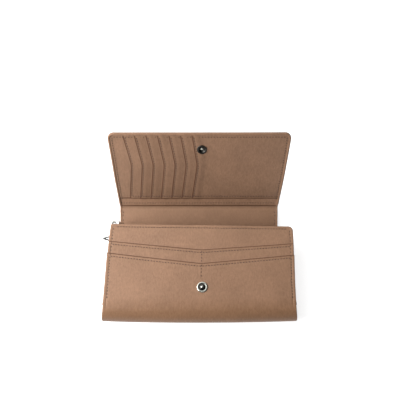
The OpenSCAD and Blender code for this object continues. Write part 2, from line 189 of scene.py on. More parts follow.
def cover_place(x, s, h):
    """Cover and its lining: s is 0 at the first fold, below 0 on the back; h rises to the inside."""
    if s <= MID_SPINE:
        angle = SPINE_REST * smooth((s + BEND) / (2 * BEND))
        origin = SPINE
        along = s
    else:
        along = s - SPINE_L
        angle = SPINE_REST + FLAP_REST * smooth((along + BEND) / (2 * BEND))
        origin = FLAP
    on_flap = smooth((s - SPINE_L - 6) / 30)
    h += on_flap * soft_wave(x, s, 3.7, FLAP_WAVE)
    on_spine = smooth((s - 3) / 8) * smooth((SPINE_L - 3 - s) / 8)
    h += on_spine * soft_wave(x * 1.6, s, 8.1, SPINE_WAVE)
    x -= 0.5 * smooth((s + 5) / 10) * smooth((SPINE_L + 70 - s) / 70)
    y = origin.y + along * math.cos(angle) - h * math.sin(angle)
    z = origin.z + along * math.sin(angle) + h * math.cos(angle)
    return Vector((x, y, z))


def front_wave(x, y):
    return smooth((y - FOLD_R) / 20) * soft_wave(x, y, 5.3, FRONT_WAVE)


def skew(x, y):
    """The front is sewn in slightly askew: its left side stands a little higher."""
    return FRONT_SKEW * x * smooth((y - FOLD_R) / 80)


def lean(y):
    """How far the front has worked over to the right at a height over the bottom fold."""
    return FRONT_LEAN * max((y - FOLD_R) / 84, 0.0) ** 1.5


def front_half(y):
    """Half the front's width: it spreads a little towards its open top."""
    return BODY_HALF - FRONT_IN + FRONT_SPREAD * smooth((y - 14) / 75)


def front_place(x, y, h):
    """Front wall: y is the height over the bottom fold, h the height over the outer leather."""
    h += front_wave(x, y)
    x += lean(y)
    y -= skew(x, y)
    py, pz = turned(FOLD.y + y - FOLD_R, 2 * FOLD_R + h, FOLD, FRONT_REST)
    return Vector((x, py, pz))


def wrap_place(x, s, h):
    """Body skin: s is 0 where the back starts to curl, ARC where the front begins; h points outwards."""
    if s < 0:
        y = FOLD.y - s
        z = -h
    elif s < ARC:
        turn = s / FOLD_R
        h += FOLD_BULGE * (1 - (x / BODY_HALF) ** 2) * math.sin(turn) ** 2
        y = FOLD.y - (FOLD_R + h) * math.sin(turn)
        z = FOLD_R - (FOLD_R + h) * math.cos(turn)
    else:
        up = s - ARC + FOLD_R
        x += lean(up)
        y = FOLD.y + s - ARC - skew(x, up)
        z = 2 * FOLD_R + h + front_wave(x, up)
    py, pz = y, z
    for _ in range(12):
        py, pz = turned(y, z, FOLD, FRONT_REST * fold_weight(py, pz))
    return Vector((x, py, pz))


def coin_place(x, y, z):
    """Coin pocket: y is the height over the bottom fold, z the height over the back."""
    py, pz = turned(FOLD.y + y - FOLD_R, z, FOLD, COIN_REST)
    return Vector((x, py, pz))


def back_half(y):
    """Half the back's width at a height over the bottom fold."""
    share = (y - FOLD_R) / (SPINE.y - FOLD.y)
    return BODY_HALF + (BACK_TOP_HALF - BODY_HALF) * min(max(share, 0), 1)


def cover_half(s):
    """Half the cover's width along s; the spine is drawn in a little."""
    drawn = SPINE_DRAWN * smooth((s + 2) / 6) * smooth((SPINE_L + 45 - s) / 45)
    if s < 0:
        return back_half(SPINE.y - FOLD.y + FOLD_R + s) - 0.5 * smooth((s + 8) / 8) - drawn
    return SPINE_HALF + (FLAP_HALF - SPINE_HALF) * max(s - SPINE_L, 0) / FLAP_L - drawn


# ---- mesh tools ----------------------------------------------------------------------------

def new_object(name, mesh, material, slot):
    piece = bpy.data.objects.new(name, mesh)
    bpy.context.scene.collection.objects.link(piece)
    mesh.materials.append(material)
    return piece


SHARP_ANGLE = math.radians(62)
NO_CUT = 9.0  # a rim value far from any cut edge


def mesh_piece(name, points, faces, material, slot, flat=None, rims=None):
    """A smooth closed mesh from points in millimetres.

    flat holds each point's place on flat leather, rims its distance from the nearest cut edge.
    """
    mesh = bpy.data.meshes.new(name)
    mesh.from_pydata([p * MM for p in points], [], faces)
    attribute = mesh.attributes.new("flat", "FLOAT_VECTOR", "POINT")
    places = flat if flat else points
    attribute.data.foreach_set("vector", [c * MM for p in places for c in p])
    attribute = mesh.attributes.new("rim", "FLOAT", "POINT")
    attribute.data.foreach_set("value", rims if rims else [NO_CUT] * len(points))
    tidy = bmesh.new()
    tidy.from_mesh(mesh)
    bmesh.ops.recalc_face_normals(tidy, faces=tidy.faces)
    for face in tidy.faces:
        face.smooth = True
    for edge in tidy.edges:
        edge.smooth = edge.calc_face_angle(0.0) < SHARP_ANGLE
    tidy.to_mesh(mesh)
    tidy.free()
    return new_object(name, mesh, material, slot)


EDGE_STEPS = (0.0, 0.08, 0.22, 0.45, 0.8, 1.3, 1.9, 2.4, 2.75, 3.0, 3.25, 3.45, 3.6, 3.9, 4.5, 5.1, 5.7,
              7.0)


def skin_rings(faces, first, rings, size):
    """Adds the sides and the two end caps of a bar made of rings of points, size points in each."""
    for ring in range(rings - 1):
        for k in range(size):
            a = first + ring * size + k
            b = first + ring * size + (k + 1) % size
            faces.append((a, b, b + size, a + size))
    last = first + (rings - 1) * size
    faces.append(tuple(range(first, first + size)))
    faces.append(tuple(range(last, last + size)))


def lines(low, high, step, fine_low, fine_high, dense=()):
    """Grid lines: close together at a free edge and where the sheet bends, a step apart elsewhere."""
    reach = (high - low) / 2
    start = [low + d for d in EDGE_STEPS if d < reach] if fine_low else [low]
    end = [high - d for d in EDGE_STEPS if d < reach] if fine_high else [high]
    count = max(1, round((end[-1] - start[-1]) / step))
    marks = start + end
    marks += [start[-1] + (end[-1] - start[-1]) * i / count for i in range(1, count)]
    for a, b, small in dense:
        marks += [m for i in range(int((b - a) / small) + 1) if low < (m := a + i * small) < high]
    marks.sort()
    kept = [marks[0]]
    for mark in marks[1:]:
        if mark - kept[-1] > 0.06:
            kept.append(mark)
    kept[-1] = high
    return kept


def constant(value):
    return lambda _: value


class Outline:
    """Edges of a sheet. left and right are functions of s, low and high functions of x.

    free names the free edges, of l, r, b and t; radius rounds the two far corners.
    """

    def __init__(self, left, right, low, high, free="lrbt", radius=(0.0, 0.0)):
        self.left, self.right = left, right
        self.low, self.high = low, high
        self.free = free
        self.radius = radius

    def inset(self, s, x, radius):
        away = self.high(x) - s
        if radius <= 0 or away >= radius:
            return 0.0
        return radius - math.sqrt(max(radius ** 2 - (radius - away) ** 2, 0.0))

    def distance(self, x, s, free=None):
        """How far a point is from the nearest free edge."""
        free = self.free if free is None else free
        left = x - self.left(s)
        right = self.right(s) - x
        top = self.high(x) - s
        found = [50.0]
        if "l" in free:
            found.append(left)
        if "r" in free:
            found.append(right)
        if "b" in free:
            found.append(s - self.low(x))
        if "t" in free:
            found.append(top)
        for side, radius in zip((left, right), self.radius):
            if "t" in free and side < radius and top < radius:
                found.append(radius - math.hypot(radius - side, radius - top))
        return max(min(found), 0.0)

    def grid(self, step, dense, dense_x):
        """Rows of (x, s) that follow the edges."""
        s_mid = (self.low(0) + self.high(0)) / 2
        x_low, x_high = self.left(s_mid), self.right(s_mid)
        columns = lines(x_low, x_high, step, "l" in self.free, "r" in self.free, dense_x)
        x_mid = (x_low + x_high) / 2
        s_low, s_high = self.low(x_mid), self.high(x_mid)
        rows = lines(s_low, s_high, step, "b" in self.free, "t" in self.free, dense)
        made = []
        for row in rows:
            v = (row - s_low) / (s_high - s_low)
            made.append([])
            for column in columns:
                u = (column - x_low) / (x_high - x_low)
                x = column
                for _ in range(3):
                    s = self.low(x) + v * (self.high(x) - self.low(x))
                    left = self.left(s) + self.inset(s, x, self.radius[0])
                    right = self.right(s) - self.inset(s, x, self.radius[1])
                    x = left + u * (right - left)
                made[-1].append((x, s))
        return made


def rounding(d, radius):
    """How far a rounded edge drops at a distance from the edge."""
    if d >= radius:
        return 0.0
    return radius - math.sqrt(max(radius ** 2 - (radius - d) ** 2, 0.0))


def groove(d, seam, depth=0.2, swell=0.1, width=0.55):
    """Leather pulled in along a seam, with a soft swelling towards the edge."""
    if seam is None:
        return 0.0
    pulled = -depth * math.exp(-(((d - seam) / width) ** 2))
    swollen = swell * math.exp(-(((d - seam * 0.45) / (seam * 0.3)) ** 2))
    return pulled + swollen


def plate(low, high, edge, seam=None):
    """Heights of a plain sheet with rounded edges and a seam along its free edges."""

    def base(x, s, d):
        return low + rounding(d, edge)

    def top(x, s, d):
        return high - rounding(d, edge) + groove(d, seam)

    return base, top


def sheet(name, material, slot, outline, place, heights, step=3.0, dense=(), dense_x=(),
          shift=(0.0, 0.0), cut="", cut_width=1.0):
    """A closed sheet of leather over an outline, between two heights, put in place on the wallet.

    cut names the edges that are cut rather than folded; they get a dark band of edge dye and painted shade.
    """
    base, top = heights
    rows = outline.grid(step, dense, dense_x)
    points = []
    flat = []
    rims = []
    for height in (base, top):
        for row in rows:
            for x, s in row:
                distance = outline.distance(x, s)
                h = height(x, s, distance)
                points.append(place(x, s, h))
                flat.append((x + shift[0], s + shift[1], h))
                rims.append(outline.distance(x, s, cut) / cut_width)
    height_count = len(rows)
    width = len(rows[0])
    layer = height_count * width
    faces = []
    for i in range(height_count - 1):
        for j in range(width - 1):
            a = i * width + j
            faces.append((a, a + 1, a + width + 1, a + width))
            b = a + layer
            faces.append((b, b + width, b + width + 1, b + 1))
    rim = list(range(width))
    rim += [i * width + width - 1 for i in range(1, height_count)]
    rim += [(height_count - 1) * width + j for j in range(width - 2, -1, -1)]
    rim += [i * width for i in range(height_count - 2, 0, -1)]
    for a, b in zip(rim, rim[1:] + rim[:1]):
        faces.append((a, b, b + layer, a + layer))
    return mesh_piece(name, points, faces, material, slot, flat, rims)


def along(route, spacing):
    """Points a spacing apart on a route of (x, s, h) points, with the direction at each."""
    corners = [Vector(p) for p in route]
    total = sum((b - a).length for a, b in zip(corners, corners[1:]))
    count = max(1, int(total / spacing))
    spacing = total / count
    found = []
    want = spacing / 2
    walked = 0.0
    for a, b in zip(corners, corners[1:]):
        length = (b - a).length
        while walked + length >= want - 1e-6 and len(found) < count:
            share = (want - walked) / length
            found.append((a.lerp(b, share), (b - a).normalized()))
            want += spacing
        walked += length
    return found


THREAD_R = 0.42
STITCH_RINGS = (0.0, 0.12, 0.32, 0.5, 0.68, 0.88, 1.0)
STITCH_SIDES = 6
STITCH_ARCH = 0.36
STITCH_SUNK = 0.2


def stitches(name, routes, place, side=1, length=1.75):
    """One thread over every stitch of some seams. side is -1 for seams on the outer face."""
    random.seed(name)
    points = []
    flat = []
    faces = []
    for route in routes:
        for middle, ahead in along(route, STITCH_PITCH):
            slant = Vector((-ahead.y, ahead.x, 0)) * random.uniform(0.05, 0.12)
            ahead = (ahead + slant).normalized()
            across = Vector((-ahead.y, ahead.x, 0)).normalized()
            size = length * random.uniform(0.94, 1.04)
            first = len(points)
            for t in STITCH_RINGS:
                centre = middle + ahead * (t - 0.5) * size
                rise = side * (STITCH_ARCH * math.sin(math.pi * t) - STITCH_SUNK)
                radius = THREAD_R * (0.35 + 0.65 * math.sin(math.pi * (0.08 + 0.84 * t)))
                for k in range(STITCH_SIDES):
                    angle = 2 * math.pi * k / STITCH_SIDES
                    spot = centre + across * radius * math.cos(angle)
                    spot.z += rise + radius * math.sin(angle)
                    points.append(place(*spot))
                    flat.append((t * size, radius * angle, spot.x))
            skin_rings(faces, first, len(STITCH_RINGS), STITCH_SIDES)
    return mesh_piece(name, points, faces, THREAD, None, flat)


def tube(name, route, radius, material, slot, closed=True, sides=14):
    """A round wire along points in millimetres."""
    route = [Vector(p) for p in route]
    count = len(route)
    points = []
    faces = []
    reference = None
    for i, spot in enumerate(route):
        before = route[i - 1] if closed or i else spot
        after = route[(i + 1) % count] if closed or i < count - 1 else spot
        ahead = (after - before).normalized()
        if reference is None:
            reference = ahead.orthogonal().normalized()
        reference = (reference - ahead * reference.dot(ahead)).normalized()
        other = ahead.cross(reference)
        for k in range(sides):
            angle = 2 * math.pi * k / sides
            points.append(spot + (reference * math.cos(angle) + other * math.sin(angle)) * radius)
    last = count if closed else count - 1
    start = points[:sides]
    twist = 0
    if closed:
        ahead = (route[0] - route[-2]).normalized()
        carried = (reference - ahead * reference.dot(ahead)).normalized()
        gaps = [(carried - (p - route[0]).normalized()).length for p in start]
        twist = gaps.index(min(gaps))
    for i in range(last):
        ring = i * sides
        following = ((i + 1) % count) * sides
        offset = twist if closed and i == count - 1 else 0
        for k in range(sides):
            a = ring + k
            b = ring + (k + 1) % sides
            c = following + (k + 1 + offset) % sides
            d = following + (k + offset) % sides
            faces.append((a, b, c, d))
    if not closed:
        faces.append(tuple(range(sides)))
        faces.append(tuple(range((count - 1) * sides, count * sides)))
    return mesh_piece(name, points, faces, material, slot)


def lathe(name, profile, frame_at, material, slot, sides=64):
    """A turned part: profile holds (radius, height) points, from axis to axis or as a closed ring."""
    points = []
    faces = []
    rings = []
    for radius, height in profile:
        if radius < 1e-6:
            rings.append([len(points)])
            points.append(frame_at(0, 0, height))
            continue
        rings.append(list(range(len(points), len(points) + sides)))
        for k in range(sides):
            angle = 2 * math.pi * k / sides
            points.append(frame_at(radius * math.cos(angle), radius * math.sin(angle), height))
    for a, b in zip(rings, rings[1:]):
        for k in range(sides):
            n = (k + 1) % sides
            if len(a) == 1:
                faces.append((a[0], b[k], b[n]))
            elif len(b) == 1:
                faces.append((a[k], b[0], a[n]))
            else:
                faces.append((a[k], b[k], b[n], a[n]))
    if len(rings[0]) > 1:
        for k in range(sides):
            n = (k + 1) % sides
            faces.append((rings[-1][k], rings[0][k], rings[0][n], rings[-1][n]))
    return mesh_piece(name, points, faces, material, slot)


# ---- materials -----------------------------------------------------------------------------

def material_tree(name):
    material = bpy.data.materials.new(name)
    material.use_nodes = True
    tree = material.node_tree
    return material, tree, tree.nodes["Principled BSDF"]


def add(tree, kind, **values):
    """A node with some of its input sockets set."""
    node = tree.nodes.new(kind)
    for key, value in values.items():
        node.inputs[key.replace("_", " ")].default_value = value
    return node


EVEN = (1.0, 1.0, 1.0)


def mapped(tree, scale, attribute="flat"):
    """Texture coordinates in metres, times a scale for each axis.

    They lie on the flat leather, or without an attribute in the object's own space.
    """
    if attribute:
        source = tree.nodes.new("ShaderNodeAttribute")
        source.attribute_name = attribute
        output = source.outputs["Vector"]
    else:
        output = tree.nodes.new("ShaderNodeTexCoord").outputs["Object"]
    mapping = tree.nodes.new("ShaderNodeMapping")
    mapping.inputs["Scale"].default_value = scale
    tree.links.new(output, mapping.inputs["Vector"])
    return mapping.outputs["Vector"]


def ramp(tree, source, stops):
    node = tree.nodes.new("ShaderNodeValToRGB")
    tree.links.new(source, node.inputs["Fac"])
    elements = node.color_ramp.elements
    while len(elements) < len(stops):
        elements.new(0.5)
    for element, (place, colour) in zip(elements, stops):
        element.position = place
        element.color = (*colour, 1)
    return node.outputs["Color"]


def texture(tree, kind, stretch, attribute="flat", **values):
    """A texture node on mapped coordinates."""
    node = add(tree, kind, **values)
    tree.links.new(mapped(tree, stretch, attribute), node.inputs["Vector"])
    return node


def math_node(tree, operation, a, b):
    node = tree.nodes.new("ShaderNodeMath")
    node.operation = operation
    for socket, value in zip(node.inputs, (a, b)):
        if isinstance(value, (int, float)):
            socket.default_value = value
        else:
            tree.links.new(value, socket)
    return node.outputs["Value"]


def times(tree, colour, tint, factor):
    """A colour multiplied by another, by a share of its full effect."""
    mix = tree.nodes.new("ShaderNodeMix")
    mix.data_type = "RGBA"
    mix.blend_type = "MULTIPLY"
    mix.inputs["Factor"].default_value = factor
    tree.links.new(colour, mix.inputs[6])
    tree.links.new(tint, mix.inputs[7])
    return mix.outputs[2]


def bumped(tree, shader, height, strength, distance):
    """Gives a surface relief from a height; distance is in metres."""
    bump = add(tree, "ShaderNodeBump", Strength=strength, Distance=distance)
    tree.links.new(height, bump.inputs["Height"])
    tree.links.new(bump.outputs["Normal"], shader.inputs["Normal"])


def uneven_gloss(tree, shader, marks, spread, roughness):
    """Roughness that varies with a texture about a mean."""
    gloss = math_node(tree, "MULTIPLY_ADD", marks.outputs["Fac"], spread)
    gloss.node.inputs[2].default_value = roughness - spread / 2
    tree.links.new(gloss, shader.inputs["Roughness"])


def shade(colour, factor):
    return tuple(c * factor for c in colour)


def painted_fold_shade(tree, colour, middle, half):
    """Painted shade: darkens a band across s, strongest at its middle."""
    place = tree.nodes.new("ShaderNodeSeparateXYZ")
    tree.links.new(mapped(tree, (1000.0, 1000.0, 1000.0)), place.inputs["Vector"])
    away = math_node(tree, "ABSOLUTE", math_node(tree, "SUBTRACT", place.outputs["Y"], middle), 0.0)
    share = math_node(tree, "DIVIDE", away, half)
    tint = ramp(tree, share, ((0.35, (0.84, 0.79, 0.7)), (1.0, (1, 1, 1))))
    return times(tree, colour, tint, 1.0)


def leather(name, colour, grain=1.0, roughness=0.5, streak=2.2, fold_shade=None):
    """Fine pebbled leather: cells about 0.7 mm wide, drawn out along s, dark on cut edges with edge dye and
    painted shade.

    The last argument gives the middle and half width, in millimetres of s, of a band of painted shade over
    the bottom fold.
    """
    material, tree, shader = material_tree(name)
    cells = texture(tree, "ShaderNodeTexVoronoi", (1.4, 1.4 / streak, 1.0), Scale=1000.0)
    cells.feature = "SMOOTH_F1"
    cells.inputs["Smoothness"].default_value = 0.55
    fine = texture(tree, "ShaderNodeTexNoise", (1.0, 0.6, 1.0), Scale=2600.0, Detail=3.0)
    mottle = texture(tree, "ShaderNodeTexNoise", EVEN, Scale=34.0, Detail=4.0, Roughness=0.6)
    tone = ramp(tree, mottle.outputs["Fac"], (
        (0.25, shade(colour, 0.88)), (0.55, colour), (0.8, shade(colour, 1.1))))
    streaks = texture(tree, "ShaderNodeTexNoise", (1.0, 0.45, 1.0), Scale=620.0, Detail=2.0)
    drawn = ramp(tree, streaks.outputs["Fac"], ((0.3, (0.84, 0.83, 0.82)), (0.7, (1.1, 1.1, 1.1))))
    tone = times(tree, tone, drawn, 0.7 * grain)
    pits = ramp(tree, cells.outputs["Distance"], ((0.0, (1.05, 1.05, 1.05)), (0.75, (0.8, 0.77, 0.75))))
    tone = times(tree, tone, pits, 0.55 * grain)
    # Colour of the cut-edge band: edge dye together with painted shade of the gap below the edge
    cut = (0.4, 0.31, 0.25)
    rim = tree.nodes.new("ShaderNodeAttribute")
    rim.attribute_name = "rim"
    edge = ramp(tree, rim.outputs["Fac"], ((0.0, cut), (0.45, cut), (0.85, (1, 1, 1))))
    tone = times(tree, tone, edge, 1.0)
    if fold_shade:
        tone = painted_fold_shade(tree, tone, *fold_shade)
    tree.links.new(tone, shader.inputs["Base Color"])
    height = math_node(tree, "ADD", math_node(tree, "MULTIPLY", cells.outputs["Distance"], -1.0),
                       math_node(tree, "MULTIPLY", fine.outputs["Fac"], 0.35))
    bumped(tree, shader, height, 0.55 * grain, 0.00018)
    uneven_gloss(tree, shader, mottle, 0.18, roughness)
    shader.inputs["Specular IOR Level"].default_value = 0.22
    shader.inputs["Sheen Weight"].default_value = 0.05
    shader.inputs["Sheen Roughness"].default_value = 0.5
    return material


def metal(name, colour, roughness, scratch=0.05):
    """Polished or brushed metal with fine handling marks."""
    material, tree, shader = material_tree(name)
    marks = texture(tree, "ShaderNodeTexNoise", EVEN, None, Scale=900.0, Detail=5.0, Roughness=0.65)
    tone = ramp(tree, marks.outputs["Fac"], ((0.3, shade(colour, 0.82)), (0.65, colour)))
    tree.links.new(tone, shader.inputs["Base Color"])
    uneven_gloss(tree, shader, marks, 0.16, roughness)
    bumped(tree, shader, marks.outputs["Fac"], scratch, 0.00005)
    shader.inputs["Metallic"].default_value = 1.0
    return material


def thread(name, colour):
    """Waxed twisted thread."""
    material, tree, shader = material_tree(name)
    twist = texture(tree, "ShaderNodeTexWave", (1.0, 1.6, 0.0), Scale=420.0, Distortion=0.4)
    twist.bands_direction = "DIAGONAL"
    tone = ramp(tree, twist.outputs["Fac"], ((0.1, shade(colour, 0.7)), (0.8, colour)))
    tree.links.new(tone, shader.inputs["Base Color"])
    bumped(tree, shader, twist.outputs["Fac"], 0.5, 0.0001)
    shader.inputs["Roughness"].default_value = 0.6
    return material


def woven(name, colour):
    """Woven zip tape, as a fine checker."""
    material, tree, shader = material_tree(name)
    weave = texture(tree, "ShaderNodeTexChecker", EVEN, Scale=2600.0)
    tone = ramp(tree, weave.outputs["Fac"], ((0.0, shade(colour, 0.7)), (1.0, shade(colour, 1.25))))
    tree.links.new(tone, shader.inputs["Base Color"])
    bumped(tree, shader, weave.outputs["Fac"], 0.4, 0.0001)
    shader.inputs["Roughness"].default_value = 0.85
    return material


TAN = (0.222, 0.126, 0.076)
OUTER = leather("outer_leather", TAN)
# Body skin with painted shade over the bottom fold, where the leather curves away from the light
SKIN = leather("body_leather", TAN, fold_shade=(ARC - 11, 20))
LINING = leather("lining_leather", shade(TAN, 0.97), grain=0.6, roughness=0.56, streak=1.4)
# Painted light: the long pocket's leather is lightened to cancel the shade of the fold and the card panels
# above it
LONG_POCKET_LIGHTENED = leather("long_pocket_leather", shade(TAN, 1.22), roughness=0.56)
POCKET = leather("pocket_leather", shade(TAN, 0.92), grain=0.6, roughness=0.58, streak=1.4)
THREAD = thread("thread", (0.055, 0.022, 0.011))
TAPE = woven("zip_tape", (0.11, 0.065, 0.042))
NICKEL = metal("nickel", (0.52, 0.52, 0.46), 0.3)
DARK_METAL = metal("dark_metal", (0.045, 0.042, 0.038), 0.3)
RING_METAL = metal("ring_metal", (0.05, 0.049, 0.044), 0.36, 0.2)
ZIP_METAL = metal("zip_metal", (0.4, 0.39, 0.37), 0.28, 0.1)


# ---- camera, light and floor ---------------------------------------------------------------

def make_camera():
    """The photograph's viewpoint: nearly square on, looking down by about 58 degrees."""
    tilt, yaw, roll = (math.radians(a) for a in (57.598, 0.293, 0.237))
    distance_from_fold = Vector((-0.559, -120.301, 391.347))
    view = Vector((math.sin(yaw) * math.cos(tilt), math.cos(yaw) * math.cos(tilt), -math.sin(tilt)))
    right = view.cross(Vector((0, 0, 1))).normalized()
    up = right.cross(view)
    rolled_right = right * math.cos(roll) + up * math.sin(roll)
    rolled_up = up * math.cos(roll) - right * math.sin(roll)
    data = bpy.data.cameras.new("camera")
    data.sensor_width = 36.0
    data.lens = 35.94
    data.clip_start = 0.01
    camera = bpy.data.objects.new("camera", data)
    bpy.context.scene.collection.objects.link(camera)
    axes = Matrix((rolled_right, rolled_up, -view)).transposed().to_4x4()
    camera.matrix_world = Matrix.Translation((FOLD + distance_from_fold) * MM) @ axes
    bpy.context.scene.camera = camera


LIGHT_TARGET = Vector((0, 0, 0.03))


def area_light(name, place, size, power):
    data = bpy.data.lights.new(name, "AREA")
    data.shape = "RECTANGLE"
    data.size, data.size_y = size
    data.energy = power
    lamp = bpy.data.objects.new(name, data)
    lamp.location = place
    lamp.rotation_euler = (LIGHT_TARGET - Vector(place)).to_track_quat("-Z", "Y").to_euler()
    bpy.context.scene.collection.objects.link(lamp)


# name, place in metres, size in metres, watts; all of them are white
LIGHTS = (
    ("side", (-0.6, -0.1, 0.36), (0.6, 0.45), 12.4),
    ("top", (-0.45, 0.05, 0.65), (0.6, 0.6), 3.2),
    ("near", (-0.3, 0.2, 0.35), (0.3, 0.3), 0.5),
    ("back", (0.0, 0.3, 0.6), (0.5, 0.4), 1.6),
)
WORLD_GLOW = 0.02
FLOOR_GLOW = 0.78
FLOOR_HALF = 4.0
FLOOR_DROP = 0.0004


def make_lights():
    for light in LIGHTS:
        area_light(*light)
    world = bpy.data.worlds.new("studio")
    world.use_nodes = True
    background = world.node_tree.nodes["Background"]
    background.inputs["Color"].default_value = (1.0, 1.0, 1.0, 1)
    background.inputs["Strength"].default_value = WORLD_GLOW
    bpy.context.scene.world = world
    bpy.context.scene.view_settings.view_transform = "Standard"


def make_floor():
    """A large pale floor, just under the wallet; measures in metres."""
    half, z = FLOOR_HALF, -FLOOR_DROP
    mesh = bpy.data.meshes.new("floor")
    mesh.from_pydata([(-half, -half, z), (half, -half, z), (half, half, z), (-half, half, z)], [],
                     [(0, 1, 2, 3)])
    material, _, shader = material_tree("floor")
    shader.inputs["Base Color"].default_value = (0.55, 0.55, 0.55, 1)
    shader.inputs["Roughness"].default_value = 0.9
    shader.inputs["Emission Color"].default_value = (1, 1, 1, 1)
    shader.inputs["Emission Strength"].default_value = FLOOR_GLOW
    floor = new_object("floor", mesh, material, None)


# ---- placement helpers ---------------------------------------------------------------------

def bend_between(piece):
    """Bakes a piece's placement into its mesh."""
    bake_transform(piece)


def bend_front(piece):
    bend_between(piece)


def bend_spine(piece):
    bend_between(piece)


def bend_flap(piece):
    bend_between(piece)


SPINE_DENSE = ((-BEND - 1, BEND + 1, 0.7),)
FLAP_DENSE = ((SPINE_L - BEND - 1, SPINE_L + BEND + 1, 0.7),)


# ---- cover: back, spine and flap -----------------------------------------------------------

def rim_height(s):
    """Height of the turned border over the lining along the cover."""
    on_spine = SPINE_RIM_H * smooth((s + 7) / 8)
    return on_spine + (RIM_H - SPINE_RIM_H) * smooth((s - SPINE_L + 1) / 7)


def border(s):
    """Width of the turned border along the cover."""
    return 1.0 + (BORDER_W - 1.0) * smooth((s + 12) / 10)


def panel_bump(x, s):
    """The border rises a little where a card panel's edge runs under it."""
    u = (x - chevron(PANEL_FIRST_X)(s)) % PANEL_PITCH
    count = (x - PANEL_FIRST_X + CHEVRON_D) / PANEL_PITCH
    if count < 0.5 or count > PANEL_COUNT + 0.3:
        return 0.0
    return 0.45 * smooth(u / 1.5) * panel_lift(u) / PANEL_T * smooth((s - SPINE_L - FLAP_L + 6) / 3)


def cover_heights():
    """Outer leather whose edge turns over the lining and rises into a border."""

    def base(x, s, d):
        return -SHELL_T + rounding(d, 1.3) - groove(d, RIM_SEAM, 0.12)

    def top(x, s, d):
        under_lining = LEATHER_T - SHELL_T - 0.03
        rim = rim_height(s) + panel_bump(x, s)
        inside = smooth((d - border(s)) / 0.3)
        rim_top = rim - rounding(d, 1.0) - 0.3 * smooth((d - border(s) + 0.9) / 0.9)
        on_cover = smooth((s + 12) / 6)
        rim_top = under_lining + (rim_top - under_lining) * on_cover
        return rim_top + (under_lining - rim_top) * inside

    return base, top


def cover_outline(low, high, free, radius=(0.0, 0.0)):
    return Outline(lambda s: -cover_half(s), cover_half, constant(low), constant(high), free, radius)


def lining_outline(low, high, free, radius=(0.0, 0.0), gap=0.05):
    return Outline(lambda s: -(cover_half(s) - border(s) - gap), lambda s: cover_half(s) - border(s) - gap,
                   constant(low), constant(high), free, radius)


def make_cover():
    flap_end = SPINE_L + FLAP_L
    back = sheet("cover_back", OUTER, "outer_leather",
                 cover_outline(BACK_SEAM_S, MID_SPINE, "lr"),
                 cover_place, cover_heights(), dense=SPINE_DENSE)
    bend_spine(back)
    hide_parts("back_leather", "spine_leather")
    flap = sheet("cover_flap", OUTER, "outer_leather",
                 cover_outline(MID_SPINE, flap_end, "lrt", (FLAP_CORNER, FLAP_CORNER)),
                 cover_place, cover_heights(), dense=FLAP_DENSE)
    bend_flap(flap)
    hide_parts("flap_leather")
    lining = plate(LEATHER_T - SHELL_T, 0.0, 0.1)
    back_lining = sheet("lining_back", LINING, "lining_leather",
                        lining_outline(4 - (SPINE.y - FOLD.y), MID_SPINE, "lr"),
                        cover_place, lining, dense=SPINE_DENSE, shift=(31, 7))
    bend_spine(back_lining)
    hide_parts("back_lining", "spine_lining")
    flap_lining = sheet("lining_flap", LINING, "lining_leather",
                        lining_outline(MID_SPINE, flap_end - BORDER_W, "lrt", (3.0, 3.0)),
                        cover_place, lining, dense=FLAP_DENSE, shift=(31, 7))
    bend_flap(flap_lining)
    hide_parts("flap_lining")
    base, top = plate(0.02, LONG_POCKET_T, 0.26, LONG_SEAM)
    pocket_heights = (lambda x, s, d: pressed(x, s, base(x, s, d), 0.0),
                      lambda x, s, d: pressed(x, s, top(x, s, d), 0.01))
    long_pocket = sheet("long_pocket_leather", LONG_POCKET_LIGHTENED, "outer_leather",
                        lining_outline(SPINE_L + LONG_POCKET_LOW, flap_end - BORDER_W, "b", (3.0, 3.0),
                                       -0.1),
                        cover_place, pocket_heights,
                        dense=FLAP_DENSE + SNAP_ROWS, dense_x=SNAP_COLUMNS, shift=(-17, 23),
                        cut="b", cut_width=LOW_CUT_W)
    bend_flap(long_pocket)
    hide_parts("long_pocket")


def chevron(tip_x):
    """A chevron edge: its x along s, pointing to the right half-way up the flap."""

    def edge(s):
        t = s - SPINE_L
        reach = PANEL_TIP - PANEL_LOW if t < PANEL_TIP else FLAP_L - PANEL_TIP
        away = math.sqrt((t - PANEL_TIP) ** 2 + 4.0) - 2.0
        return tip_x - CHEVRON_D * away / reach

    return edge


def pressed(x, s, h, floor):
    """Leather held down inside the snap's socket."""
    away = math.hypot(x - SNAP_X, s - SPINE_L - SNAP_FLAP_S)
    return floor + (h - floor) * smooth((away - 3.2) / 0.9)


SNAP_ROWS = ((SPINE_L + SNAP_FLAP_S - 5, SPINE_L + SNAP_FLAP_S + 5, 0.6),)
SNAP_COLUMNS = ((SNAP_X - 5, SNAP_X + 5, 0.6),)


def panel_lift(u):
    """How far a panel lies over the one before it, at a distance from its edge."""
    return PANEL_T * (1 - smooth((u - 4.5) / (PANEL_PITCH - 4.5)))


def make_base_panel():
    """The plain panel beside the first chevron, on the long pocket."""
    base, top = plate(LONG_POCKET_T + 0.02, LONG_POCKET_T + 0.36, 0.15)
    outline = Outline(lambda s: BORDER_W - 0.1 - cover_half(s), lambda s: chevron(PANEL_FIRST_X)(s) + 0.2,
                      constant(SPINE_L + PANEL_LOW), constant(SPINE_L + FLAP_L - BORDER_W + 0.1), "b",
                      (3.0, 0.0))
    piece = sheet("card_panel_base_leather", OUTER, "outer_leather", outline, cover_place, (base, top),
                  shift=(20, 75), cut="b", cut_width=LOW_CUT_W)
    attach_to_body(piece, "flap")


